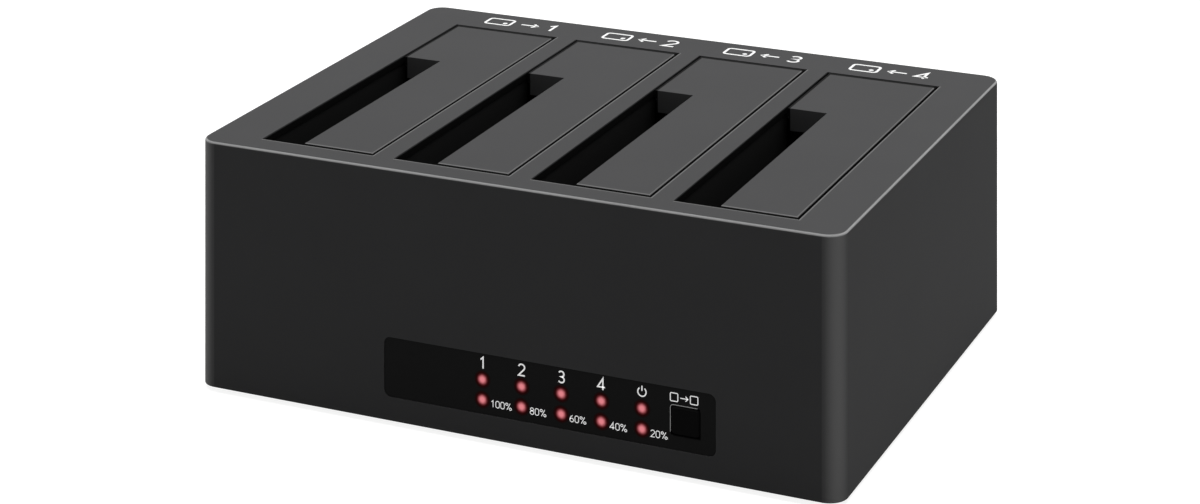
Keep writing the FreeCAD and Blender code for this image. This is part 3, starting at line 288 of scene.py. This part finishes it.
def settings(tree, shader, **values):
    """Set or link the shader's sockets by their names with underscores."""
    for name, value in values.items():
        tree.put(shader.inputs[name.replace("_", " ")], value)


def grained(tree, grain):
    """Fine spark-eroded grain and a faint wide mottle."""
    return tree.noise(1 / (grain * MM), 3.0, 0.6), tree.noise(45, 4.0, 0.55)


def mottled(tree, tone, fine, mottle):
    """A tone varied by a tenth either way."""
    dark = tuple(channel * 0.9 for channel in tone)
    pale = tuple(channel * 1.1 for channel in tone)
    return tree.mix(tree.math("MULTIPLY", tree.math("ADD", fine, mottle), 0.5), dark, pale)


def plastic_surface(tree, shader, colour, fine, roughness, shine):
    settings(tree, shader, Base_Color=colour,
             Roughness=tree.spread(fine, roughness - 0.07, roughness + 0.07),
             Specular_IOR_Level=shine)
    bump(tree, shader, fine, 0.006 * MM)


def moulded_plastic(tone, grain=0.22, roughness=0.5, shine=0.5):
    """Plastic from a spark-eroded mould."""
    def make(tree, shader):
        fine, mottle = grained(tree, grain)
        plastic_surface(tree, shader, mottled(tree, tone, fine, mottle), fine, roughness, shine)
    return make


def burnished(tree, mottle):
    """1 on faces that lean between upright and level: the rounds and bevels, where a highlight is
    painted.
    """
    lean = parts_of(tree, "Normal")[2]
    edge = tree.math("MULTIPLY", tree.smooth(lean, 0.12, 0.45), tree.smooth(lean, 0.98, 0.75))
    return tree.math("MULTIPLY", edge, tree.spread(mottle, 0.8, 1.1), clamp=True)


def parts_of(tree, kind):
    """The x, y and z of the object's own coordinates or normals."""
    vector = tree.node("ShaderNodeTexCoord").outputs[kind]
    return tree.node("ShaderNodeSeparateXYZ", {0: vector}).outputs


def both(tree, *tests):
    """1 where every test is 1."""
    result = tests[0]
    for test in tests[1:]:
        result = tree.math("MULTIPLY", result, test)
    return result


def between(tree, value, low, high):
    return both(tree, tree.math("GREATER_THAN", value, low), tree.math("LESS_THAN", value, high))


def housing_plastic(tree, shader):
    """The case's outer skin: painted highlights on the outer edges, the upright corners and the
    rims at the seams, and painted shade on the faces inside.
    """
    fine, mottle = grained(tree, 0.22)
    colour = mottled(tree, HOUSING_TONE, fine, mottle)
    # Painted highlight on the rounded upright corners.
    colour = tree.mix(upright_corner(tree), colour, CORNER_HIGHLIGHT_TONE)
    # Painted highlight on the roof beside the right and front of each opening.
    colour = tree.mix(seam_rim(tree), colour, RIM_HIGHLIGHT_TONE)
    # Painted highlight on the rounds along the case's top outer edges.
    colour = tree.mix(both(tree, burnished(tree, mottle), outer_edge(tree)), colour, EDGE_HIGHLIGHT_TONE)
    # Painted shade on the faces inside the case's outer faces.
    colour = tree.mix(inside_skin(tree), colour, INNER_SHADE_TONE)
    plastic_surface(tree, shader, colour, fine, HOUSING_ROUGHNESS, HOUSING_SHINE)


def hatch_plastic(tree, shader):
    """A hatch: the same skin, with painted shade along all four seams and painted highlights beside
    two of them.
    """
    fine, mottle = grained(tree, 0.22)
    colour = mottled(tree, HOUSING_TONE, fine, mottle)
    place = parts_of(tree, "Object")
    facing = parts_of(tree, "Normal")
    # Painted highlights on the hatch's top by its front edge and on its right edge.
    front = both(tree, tree.math("LESS_THAN", place[1], FLAP_LOW.y + SEAM_SHADE + HIGHLIGHT_WIDTH),
                 tree.math("GREATER_THAN", facing[2], SQUARE))
    colour = tree.mix(front, colour, RIM_HIGHLIGHT_TONE)
    past = tree.math("FLOORED_MODULO", tree.math("SUBTRACT", place[0], BAY_RIGHT), BAY_PITCH)
    seam = BAY_PITCH - FLAP_GAP - RIGHT_SHADE
    right = both(tree, tree.math("GREATER_THAN", past, seam - HATCH_HIGHLIGHT),
                 tree.math("GREATER_THAN", facing[2], TILTED))
    colour = tree.mix(right, colour, RIM_HIGHLIGHT_TONE)
    left = between(tree, past, BAY_PITCH - BAY_WIDTH,
                   BAY_PITCH - BAY_WIDTH + LEFT_GAP + LEFT_SHADE)
    # Painted shade on the hatch along its seams: its right edge and side, and its left, front and
    # back edges.
    for in_seam in (tree.math("GREATER_THAN", past, seam), left,
                    tree.math("LESS_THAN", place[1], FLAP_LOW.y + SEAM_SHADE),
                    tree.math("GREATER_THAN", place[1], FLAP_HIGH.y - BACK_SHADE)):
        colour = tree.mix(in_seam, colour, SEAM_SHADOW_TONE)
    plastic_surface(tree, shader, colour, fine, HOUSING_ROUGHNESS, HOUSING_SHINE)


def frame_plastic(tree, shader):
    """The bay frame, slightly paler on the walls that face sideways."""
    fine, mottle = grained(tree, 0.3)
    sideways = tree.math("ABSOLUTE", parts_of(tree, "Normal")[0])
    facing_sideways = tree.math("GREATER_THAN", sideways, SQUARE)
    colour = tree.mix(facing_sideways, mottled(tree, FRAME_TONE, fine, mottle),
                      mottled(tree, WALL_TONE, fine, mottle))
    plastic_surface(tree, shader, colour, fine, 0.65, 0.05)


def upright_corner(tree):
    """1 where an upright face is turned half way between front and side, 0 on flat faces; there a
    highlight is painted on the case's rounded corners.
    """
    facing = parts_of(tree, "Normal")
    turned = tree.math("ABSOLUTE", tree.math("MULTIPLY", facing[0], facing[1]))
    return tree.math("MULTIPLY", turned, 2.0, clamp=True)


def outer_edge(tree):
    """1 at the top near the case's outer faces, where its long edges are, and 0 elsewhere."""
    place = parts_of(tree, "Object")
    reach = 1.5 * MM
    across = tree.math("GREATER_THAN", tree.math("ABSOLUTE", place[0]), HOUSING_HIGH.x - 4 * reach)
    along = tree.math("GREATER_THAN", tree.math("ABSOLUTE", place[1]), HOUSING_HIGH.y - reach)
    top = tree.math("GREATER_THAN", place[2], HOUSING_HIGH.z - 2 * reach)
    return both(tree, top, tree.math("MAXIMUM", across, along))


def seam_rim(tree):
    """1 along the right and front sides of each bay opening, where a highlight is painted on the
    roof's edge.
    """
    place = parts_of(tree, "Object")
    facing = parts_of(tree, "Normal")
    past = tree.math("FLOORED_MODULO", tree.math("SUBTRACT", place[0], BAY_RIGHT), BAY_PITCH)
    last = BAY_RIGHT + 3 * BAY_PITCH
    right = both(tree, tree.math("LESS_THAN", past, HIGHLIGHT_WIDTH),
                 between(tree, place[0], BAY_RIGHT, last + HIGHLIGHT_WIDTH),
                 between(tree, place[1], BAY_FRONT - HIGHLIGHT_WIDTH, BAY_BACK))
    front = both(tree, tree.math("GREATER_THAN", past, BAY_PITCH - BAY_WIDTH),
                 between(tree, place[0], BAY_RIGHT - BAY_WIDTH, last),
                 between(tree, place[1], BAY_FRONT - HIGHLIGHT_WIDTH, BAY_FRONT))
    level = tree.math("GREATER_THAN", facing[2], TILTED)
    return both(tree, tree.math("MAXIMUM", right, front), level)


def inside_skin(tree):
    """1 for what lies inside the case's outer faces, where shade is painted, and 0 on them, the
    bevels and the corners.
    """
    depth = 0.35 * MM
    round_corner = 5 * MM
    place = parts_of(tree, "Object")
    across = tree.math("ABSOLUTE", place[0])
    along = tree.math("ABSOLUTE", place[1])
    within = both(tree, tree.math("LESS_THAN", across, HOUSING_HIGH.x - depth),
                  tree.math("LESS_THAN", along, HOUSING_HIGH.y - depth),
                  tree.math("LESS_THAN", place[2], HOUSING_HIGH.z - depth))
    clear = tree.math("MAXIMUM", tree.math("LESS_THAN", across, HOUSING_HIGH.x - round_corner),
                      tree.math("LESS_THAN", along, HOUSING_HIGH.y - round_corner))
    return both(tree, within, clear)


def gloss_panel(tree, shader):
    """Polished near-black acrylic with faint wipe marks."""
    wipe = tree.noise(28, 5.0, 0.6)
    colour = tree.mix(wipe, (0.005,) * 3, (0.0066,) * 3)
    settings(tree, shader, Base_Color=colour, Roughness=tree.spread(wipe, 0.08, 0.16),
             Specular_IOR_Level=0.04)
    bump(tree, shader, tree.noise(60, 1.0), 0.004 * MM)


def metal(tone, roughness, stretch=(1, 1, 1), scale=900):
    """Bright metal with drawn or plated grain."""
    def make(tree, shader):
        grain_place = tree.node("ShaderNodeMapping", {"Vector": tree.place(), "Scale": stretch})
        grain = tree.noise(scale, 4.0, 0.6, grain_place.outputs[0])
        dark = tuple(channel * 0.85 for channel in tone)
        settings(tree, shader, Base_Color=tree.mix(grain, dark, tone), Metallic=1.0,
                 Roughness=tree.spread(grain, roughness - 0.08, roughness + 0.1))
        bump(tree, shader, grain, 0.003 * MM)
    return make


def solder_mask(tree, shader):
    """Green mask over copper: raised tracks and glass weave."""
    place = tree.place()
    tracks = tree.node("ShaderNodeTexBrick", {"Vector": place, "Scale": 130.0, "Mortar Size": 0.09,
                                              "Mortar Smooth": 0.3, "Bias": 0.0},
                       offset=0.37, offset_frequency=3, squash=0.6, squash_frequency=5)
    track = tracks.outputs["Fac"]
    weave = tree.node("ShaderNodeTexWave", {"Vector": place, "Scale": 900.0}).outputs["Fac"]
    mask = tree.mix(weave, (0.008, 0.075, 0.03), (0.012, 0.095, 0.04))
    settings(tree, shader, Base_Color=tree.mix(track, mask, (0.03, 0.2, 0.075)), Roughness=0.3)
    bump(tree, shader, track, 0.03 * MM)


def rubber(tree, shader):
    speckle = tree.noise(2500, 4.0, 0.7)
    settings(tree, shader, Base_Color=tree.mix(speckle, (0.014,) * 3, (0.028,) * 3),
             Roughness=tree.spread(speckle, 0.75, 0.95), Specular_Tint=(0.4,) * 3)
    bump(tree, shader, speckle, 0.02 * MM)


def clear_plastic(tree, shader):
    """A frosted light guide."""
    haze = tree.noise(700, 2.0)
    settings(tree, shader, Base_Color=(0.95, 0.93, 0.92), Transmission_Weight=0.85,
             Roughness=tree.spread(haze, 0.15, 0.35), IOR=1.49)


def ink(painted_glow):
    """White screen-printed ink, slightly uneven; on the window it also glows, painted light on the
    print.
    """
    def make(tree, shader):
        cover = tree.noise(1800, 3.0, 0.6)
        settings(tree, shader, Base_Color=tree.mix(cover, (0.72,) * 3, (0.8,) * 3),
                 Roughness=tree.spread(cover, 0.45, 0.6), Emission_Color=(1, 1, 1),
                 Emission_Strength=painted_glow)
    return make


def bevel(tone, roughness, shine, glow=0.0):
    """A bevel of the window's button hole drawn as a flat line: a painted highlight on the lit
    side, painted shade on the other.
    """
    def make(tree, shader):
        wear = tree.noise(900, 3.0)
        pale = tuple(channel * 1.2 for channel in tone)
        settings(tree, shader, Base_Color=tree.mix(wear, tone, pale), Roughness=roughness,
                 Specular_IOR_Level=shine, Emission_Color=(1, 1, 1), Emission_Strength=glow)
    return make


def lit_disc(tree, shader):
    """A red light seen through the dark window: a pale core that fades into a dark red halo."""
    core = (0.75, 0.22, 0.25)
    halo = (0.13, 0.018, 0.021)
    edge = (0.012, 0.0008, 0.0008)
    place = tree.node("ShaderNodeTexCoord").outputs["Object"]
    reach = tree.node("ShaderNodeVectorMath", {0: place}, operation="LENGTH").outputs["Value"]
    grain = tree.math("MULTIPLY", tree.noise(1500, 2.0), 0.0002)
    reach = tree.math("ADD", reach, grain)
    inner = tree.smooth(reach, 0.4 * MM, 1.35 * MM)
    outer = tree.smooth(reach, 1.05 * MM, 1.65 * MM)
    rim = tree.smooth(reach, 1.75 * MM, 2.1 * MM)
    glow = tree.mix(outer, tree.mix(inner, core, halo), edge)
    glow = tree.mix(rim, glow, (0.005, 0.003, 0.003))
    settings(tree, shader, Base_Color=(0.001, 0.001, 0.001), Roughness=0.15,
             Specular_IOR_Level=0.01, Emission_Color=glow, Emission_Strength=1.0)


FINISHES = {
    "housing_plastic": housing_plastic,
    "hatch_plastic": hatch_plastic,
    "frame_plastic": frame_plastic,
    "base_plastic": moulded_plastic((0.03,) * 3, grain=0.4, roughness=0.65, shine=0.15),
    "button_plastic": moulded_plastic((0.0085,) * 3, grain=0.15, roughness=0.7, shine=0.002),
    "rear_button": moulded_plastic((0.022,) * 3, grain=0.15, roughness=0.45, shine=0.3),
    "socket_plastic": moulded_plastic((0.012,) * 3, grain=0.1, roughness=0.4, shine=0.4),
    "chip_resin": moulded_plastic((0.02,) * 3, grain=0.08, roughness=0.55, shine=0.4),
    "plunger_plastic": moulded_plastic((0.6, 0.58, 0.52), grain=0.2, roughness=0.45, shine=0.5),
    "blue_plastic": moulded_plastic((0.01, 0.06, 0.4), grain=0.15, roughness=0.4, shine=0.5),
    "gloss_panel": gloss_panel,
    "plated_steel": metal((0.62, 0.62, 0.64), 0.3),
    "pin_steel": metal((0.6, 0.6, 0.62), 0.25, stretch=(1, 0.05, 1)),
    "spring_steel": metal((0.42, 0.42, 0.45), 0.35),
    "gold": metal((0.9, 0.62, 0.22), 0.25),
    "aluminium": metal((0.75, 0.76, 0.78), 0.35, stretch=(1, 1, 0.2)),
    "ferrite": moulded_plastic((0.06, 0.06, 0.065), grain=0.1, roughness=0.7, shine=0.4),
    "solder_mask": solder_mask,
    "rubber": rubber,
    "clear_plastic": clear_plastic,
    "ink": ink(0.0),
    # The window's print glows: painted light.
    "ink_painted_glow": ink(0.42),
    # The button hole's bevel as a painted highlight with a faint glow, and as painted shade.
    "bevel_highlight": bevel((0.32,) * 3, 0.3, 0.3, glow=0.05),
    "bevel_shade": bevel((0.004,) * 3, 0.6, 0.01),
    "lit_disc": lit_disc,
    # Dark plastic for the screw recess marks: painted shade.
    "recess": moulded_plastic((0.02,) * 3, grain=0.1, roughness=0.5, shine=0.3),
}

NODE_FINISHES = {
    "housing_plastic": ("top_housing",),
    "frame_plastic": ("bay_frame",),
    "base_plastic": ("bottom_plate",),
    "button_plastic": ("clone_button",),
    "rear_button": ("power_button",),
    "socket_plastic": ("dc_jack_body", "clone_switch_body", "power_switch_body", "board_link",
                       "led_link"),
    "chip_resin": ("control_chips",),
    "plunger_plastic": ("clone_switch_plunger",),
    "blue_plastic": ("usb_port_tongue",),
    "gloss_panel": ("front_window",),
    "plated_steel": ("case_screws", "frame_screws", "socket_board_screws", "main_board_screws",
                     "led_board_screws", "usb_port_shell", "dc_jack_pin"),
    "gold": ("sata_contacts",),
    "aluminium": ("capacitors",),
    "ferrite": ("inductors",),
    "solder_mask": ("socket_board", "main_board", "led_board"),
    "rubber": ("rubber_feet",),
    "clear_plastic": ("light_pipes", "status_leds"),
}
BAY_FINISHES = {"hatch_plastic": "drive_flap", "pin_steel": "flap_pin",
                "spring_steel": "flap_spring", "socket_plastic": "sata_socket"}


def dress_frame():
    """Give every CAD node its finish."""
    wanted = [(node, name) for name, nodes in NODE_FINISHES.items() for node in nodes]
    wanted += [(f"{node}_{bay}", name) for name, node in BAY_FINISHES.items() for bay in BAYS]
    for node, name in wanted:
        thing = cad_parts[node]
        for place in thing.material_slots:
            place.material = finish(name, FINISHES[name])


# ---- legends and lights ----------------------------------------------------------

def upright(across, up, depth):
    """The placement of a drawing on the front face."""
    return Matrix.Translation((across, depth, up)) @ Matrix.Rotation(math.pi / 2, 4, "X")


def flat(across, along, height):
    """The placement of a drawing on the roof."""
    return Matrix.Translation((across, along, height))


def glyph(character):
    """The strokes of a digit or a percent sign, one unit high and centred across."""
    bowl = 0.27
    if character == "0":
        return [(rounded_box(-bowl, 0, bowl, 1, bowl), True)]
    if character == "1":
        return [([(-0.17, 0.78), (0.06, 1), (0.06, 0)], False)]
    if character == "2":
        top = arc(bowl, 165, -35, 10, (0, 1 - bowl))
        return [(top + [(-bowl, 0), (bowl + 0.02, 0)], False)]
    if character == "3":
        top = arc(0.24, 150, -90, 10, (0, 0.76))
        return [(top + arc(bowl - 0.01, 90, -150, 12, (0, 0.26))[1:], False)]
    if character == "4":
        return [([(0.32, 0.25), (-0.32, 0.25), (0.13, 1), (0.13, 0)], False)]
    if character == "6":
        return [(arc(bowl, 0, 345, 20, (0, bowl)), True),
                (arc(0.75, 178, 118, 8, (0.48, 0.3)), False)]
    if character == "8":
        return [(arc(0.22, 0, 345, 18, (0, 0.77)), True),
                (arc(bowl, 0, 345, 20, (0, bowl)), True)]
    if character == "%":
        eye = 0.17
        return [(arc(eye, 0, 345, 14, (-0.27, 1 - eye)), True),
                (arc(eye, 0, 345, 14, (0.27, eye)), True), ([(-0.24, 0), (0.24, 1)], False)]
    raise ValueError(character)


def characters(text, height, stretch=1.0):
    """The strokes of a line of characters of that height, and how wide the line is."""
    gap = 0.2
    halves = {"4": 0.3, "%": 0.44}
    paths = []
    across = 0
    for character in text:
        half = halves.get(character, 0.27)
        across += half
        for path, closed in glyph(character):
            paths.append(([((across + x) * height * stretch, y * height) for x, y in path], closed))
        across += half + gap
    return paths, (across - gap) * height * stretch


def print_text(name, text, height, weight, place, material, centred=True, stretch=1.0):
    """Printed characters of that height and stroke, centred on a point or to the right of it."""
    paths, width = characters(text, height, stretch)
    start = -width / 2 if centred else 0
    shifted = [([(x + start, y) for x, y in path], closed) for path, closed in paths]
    strokes(name, shifted, weight, place, material=material)


def make_lit_spots():
    for column in range(LIGHT_COLUMNS):
        for row, height in enumerate(LIGHT_ROWS):
            name = f"light_{column + 1}_{row + 1}"
            lit_spot(name, FIRST_LIGHT + column * LIGHT_PITCH, height)


def lit_spot(name, across, up):
    """A shallow round dome on the window's face."""
    radius = 2.1 * MM
    rings = 6
    around = 48
    crown = 0.06 * MM
    points = [(0, -crown, 0)]
    for ring in range(1, rings + 1):
        share = ring / rings
        rise = crown * (1 - share * share)
        for step in range(around):
            angle = 2 * math.pi * step / around
            out = radius * share
            points.append((out * math.cos(angle), -rise, out * math.sin(angle)))
    faces = [(0, 1 + (step + 1) % around, 1 + step) for step in range(around)]
    for ring in range(rings - 1):
        start = 1 + ring * around
        for step in range(around):
            after = (step + 1) % around
            faces.append((start + step, start + after,
                          start + around + after, start + around + step))
    mesh = bpy.data.meshes.new(name)
    mesh.from_pydata(points, [], faces)
    for face in mesh.polygons:
        face.use_smooth = True
    mesh.materials.append(finish("lit_disc", FINISHES["lit_disc"]))
    spot = link(bpy.data.objects.new(name, mesh))
    spot.location = (across, WINDOW_LOW.y - 0.005 * MM, up)
    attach(spot, "case")


def make_front_legends():
    """Digits and a power sign over the lights, shares beside them, a copy sign over the button."""
    face = WINDOW_LOW.y - INK
    digit_height = 2.55 * MM
    digit_weight = 0.34 * MM
    digit_rise = 2.5 * MM
    share_height = 1.5 * MM
    share_weight = 0.19 * MM
    share_aside = 2.15 * MM
    share_drop = 1.3 * MM
    power_rise = 3.7 * MM
    copy_aside = 0.3 * MM
    copy_rise = 4.2 * MM
    for column in range(LIGHT_COLUMNS):
        across = FIRST_LIGHT + column * LIGHT_PITCH
        if column < len(BAYS):
            digit, width = characters(str(column + 1), digit_height, 1.1)
            place = upright(across - width / 2, LIGHT_ROWS[1] + digit_rise, face)
            strokes(f"bay_digit_{column + 1}", digit, digit_weight, place, material="ink_painted_glow")
        share = 100 - 20 * column
        print_text(f"share_{share}", f"{share}%", share_height, share_weight,
                   upright(across + share_aside, LIGHT_ROWS[0] - share_drop, face),
                   "ink_painted_glow", centred=False, stretch=1.12)
    power_sign(upright(FIRST_LIGHT + 4 * LIGHT_PITCH, LIGHT_ROWS[1] + power_rise, face))
    copy_sign(upright(BUTTON_ACROSS - copy_aside, BUTTON_UP + copy_rise, face))


def strokes(name, paths, width, place, body="case", material="ink"):
    """Printed lines of even width; a path is a list of points and may be closed."""
    mesh = bpy.data.meshes.new(name)
    points = []
    faces = []
    for path, closed in paths:
        ribbon(points, faces, [Vector(point) for point in path], width, closed)
    mesh.from_pydata([(x, y, 0) for x, y in points], [], faces)
    mesh.materials.append(finish(material, FINISHES[material]))
    thing = link(bpy.data.objects.new(name, mesh))
    thing.matrix_world = place
    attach(thing, body)


def ribbon(points, faces, path, width, closed):
    """Add the quads of a flat line with mitred corners."""
    start = len(points)
    count = len(path)
    for index, point in enumerate(path):
        before = path[index - 1] if closed or index else point
        after = path[(index + 1) % count] if closed or index < count - 1 else point
        into = (point - before).normalized() if point != before else (after - point).normalized()
        out = (after - point).normalized() if point != after else into
        lean = (into + out).normalized()
        side = Vector((-lean.y, lean.x)) * width / 2 / max(lean.dot(into), 0.3)
        points += [tuple(point - side), tuple(point + side)]
    for index in range(count if closed else count - 1):
        low = start + 2 * index
        high = start + 2 * ((index + 1) % count)
        faces.append((low, high, high + 1, low + 1))


def arc(radius, start, end, steps, centre=(0, 0)):
    """Points along an arc, angles in degrees anticlockwise from the right."""
    angles = [math.radians(start + (end - start) * step / steps) for step in range(steps + 1)]
    return [(centre[0] + radius * math.cos(a), centre[1] + radius * math.sin(a)) for a in angles]


def rounded_box(left, low, right, high, radius):
    """A closed outline with quarter-round corners."""
    corners = (((right - radius, high - radius), 0), ((left + radius, high - radius), 90),
               ((left + radius, low + radius), 180), ((right - radius, low + radius), 270))
    return [point for centre, turn in corners for point in arc(radius, turn, turn + 90, 6, centre)]


def power_sign(place):
    """The standard stand-by sign: a ring broken at the top by an upright line."""
    weight = 0.29 * MM
    gap = 38
    ring = arc(MM, 90 + gap, 450 - gap, 32)
    line = [(0, 0.2 * MM), (0, 1.35 * MM)]
    strokes("power_sign", [(ring, False), (line, False)], weight, place,
            material="ink_painted_glow")


def copy_sign(place):
    """Two sheets with an arrow from one to the other: the common sign for copying."""
    weight = 0.22 * MM
    outer = 3.3 * MM
    inner = 1.5 * MM
    height = 1.8 * MM
    tip = 0.9 * MM
    barb = 0.55 * MM
    front = rounded_box(-outer, 0, -inner, height, 0.25 * MM)
    back = rounded_box(inner, 0, outer, height, 0.25 * MM)
    shaft = [(-tip, height / 2), (tip, height / 2)]
    head = [(tip - barb, height / 2 + barb), (tip, height / 2), (tip - barb, height / 2 - barb)]
    strokes("copy_sign", [(front, True), (back, True), (shaft, False), (head, False)],
            weight, place, material="ink_painted_glow")


def make_button_line():
    """A painted highlight along the button's top and left, and painted shade along its right and
    bottom, drawn in place of a bevel.
    """
    gap = 0.25 * MM
    lit_weight = 0.16 * MM
    dark_weight = 0.2 * MM
    left = -BUTTON_WIDTH / 2 - gap
    right = BUTTON_WIDTH / 2 + gap
    low = -BUTTON_HEIGHT / 2 - gap
    high = BUTTON_HEIGHT / 2 + gap
    radius = 0.7 * MM
    place = upright(BUTTON_ACROSS, BUTTON_UP, WINDOW_LOW.y - INK)
    lit = [(left, low + radius)] + arc(radius, 180, 90, 6, (left + radius, high - radius))
    lit += [(right - radius, high)]
    strokes("button_highlight", [(lit, False)], lit_weight, place, material="bevel_highlight")
    dark = [(left + radius, low), (right, low), (right, high - radius)]
    strokes("button_shade", [(dark, False)], dark_weight, place, material="bevel_shade")


def make_roof_legends():
    """Behind each bay a drive sign, an arrow that says from or to, and the bay's number."""
    height = HOUSING_HIGH.z + INK
    tall = 4.9 * MM
    weight = 0.7 * MM
    along = 52.7 * MM
    aside = 0.7 * MM
    narrower = 0.64 * MM
    digit_aside = 9.2 * MM
    first = (FLAP_LOW.x + FLAP_HIGH.x) / 2 + aside
    pitch = BAY_PITCH - narrower
    # From left to right about each sign's middle: the drive, the arrow, the number.
    for number in range(1, len(BAYS) + 1):
        middle = first + (number - 1) * pitch
        out = 1 if number == 1 else -1
        drive = rounded_box(-9.8 * MM, 0, -2.6 * MM, tall, 0.9 * MM)
        lamp = arc(0.3 * MM, 0, 330, 11, (-4.3 * MM, 1.6 * MM))
        level = tall / 2
        barb = 1.4 * MM
        tip = 2.6 * MM + out * 2.4 * MM
        shaft = [(0.2 * MM, level), (5.0 * MM, level)]
        head = [(tip - out * barb, level + barb), (tip, level), (tip - out * barb, level - barb)]
        place = flat(middle, along, height)
        strokes(f"bay_sign_{number}", [(drive, True), (lamp, True), (shaft, False),
                                       (head, False)], weight, place)
        print_text(f"roof_digit_{number}", str(number), tall, weight,
                   place @ Matrix.Translation((digit_aside, 0, 0)), "ink", stretch=1.15)


# ---- springs and screw heads -----------------------------------------------------

def wire(name, path, radius, body, node):
    """Round drawn wire along a path, in place of a plain CAD spring."""
    curve = bpy.data.curves.new(name, "CURVE")
    curve.dimensions = "3D"
    curve.bevel_depth = radius
    curve.bevel_resolution = 4
    curve.use_fill_caps = True
    line = curve.splines.new("POLY")
    line.points.add(len(path) - 1)
    for point, place in zip(line.points, path):
        point.co = (*place, 1)
    curve.materials.append(finish("spring_steel", FINISHES["spring_steel"]))
    thing = link(bpy.data.objects.new(name, curve))
    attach(thing, body)
    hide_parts(node)


def make_springs():
    """Each torsion spring: a coil hooked under the roof, and a leg that turns with the hatch."""
    turns = 3
    hook = 2.4 * MM
    steps = 28
    for bay in BAYS:
        node = f"flap_spring_{bay}"
        low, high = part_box(node)
        thick = (high.y - low.y) / (turns + 1) / 2
        radius = (high.z - low.z) / 2 - thick
        centre = Vector((high.x - hook, low.y + thick, (low.z + high.z) / 2))
        coil = [centre + Vector((hook, 0, radius))]
        for step in range(turns * steps + 1):
            angle = math.pi / 2 + 2 * math.pi * step / steps
            coil.append(centre + Vector((radius * math.cos(angle), 2 * thick * step / steps,
                                         radius * math.sin(angle))))
        wire(f"spring_coil_{bay}", coil, thick, "case", node)
        start = coil[-1]
        leg = [start, Vector((low.x, start.y, start.z))]
        wire(f"spring_leg_{bay}", leg, thick, f"hatch_{bay}", node)


def make_screw_heads():
    """Cross recesses in the heads of the four screws under the case, drawn as nearly flat dark
    marks: painted shade in place of cut recesses.
    """
    low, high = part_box("case_screws")
    head = 2.2 * MM
    arm = 1.25 * MM
    half = 0.3 * MM
    taper = 0.55
    sink = 0.004 * MM
    corner = [(half, half), (half, arm), (-half, arm), (-half, half), (-arm, half), (-arm, -half),
              (-half, -half), (-half, -arm), (half, -arm), (half, -half), (arm, -half), (arm, half)]
    for side, across in (("left", low.x + head), ("right", high.x - head)):
        for end, along in (("front", low.y + head), ("back", high.y - head)):
            mesh = bpy.data.meshes.new(f"screw_recess_{end}_{side}")
            sunk = [(x * taper, y * taper, sink) for x, y in corner]
            points = [(x, y, 0) for x, y in corner] + sunk
            count = len(corner)
            faces = [tuple(range(count, 2 * count))]
            faces += [(i, (i + 1) % count, count + (i + 1) % count, count + i)
                      for i in range(count)]
            mesh.from_pydata(points, [], faces)
            # The dark of each mark is painted shade, as in a cut recess.
            mesh.materials.append(finish("recess", FINISHES["recess"]))
            thing = link(bpy.data.objects.new(mesh.name, mesh))
            thing.location = (across, along, low.z - INK)
            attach(thing, "case")


make_camera()
make_world()
make_floor()
make_lights()
dress_frame()
make_lit_spots()
make_front_legends()
make_button_line()
make_roof_legends()
make_springs()
make_screw_heads()
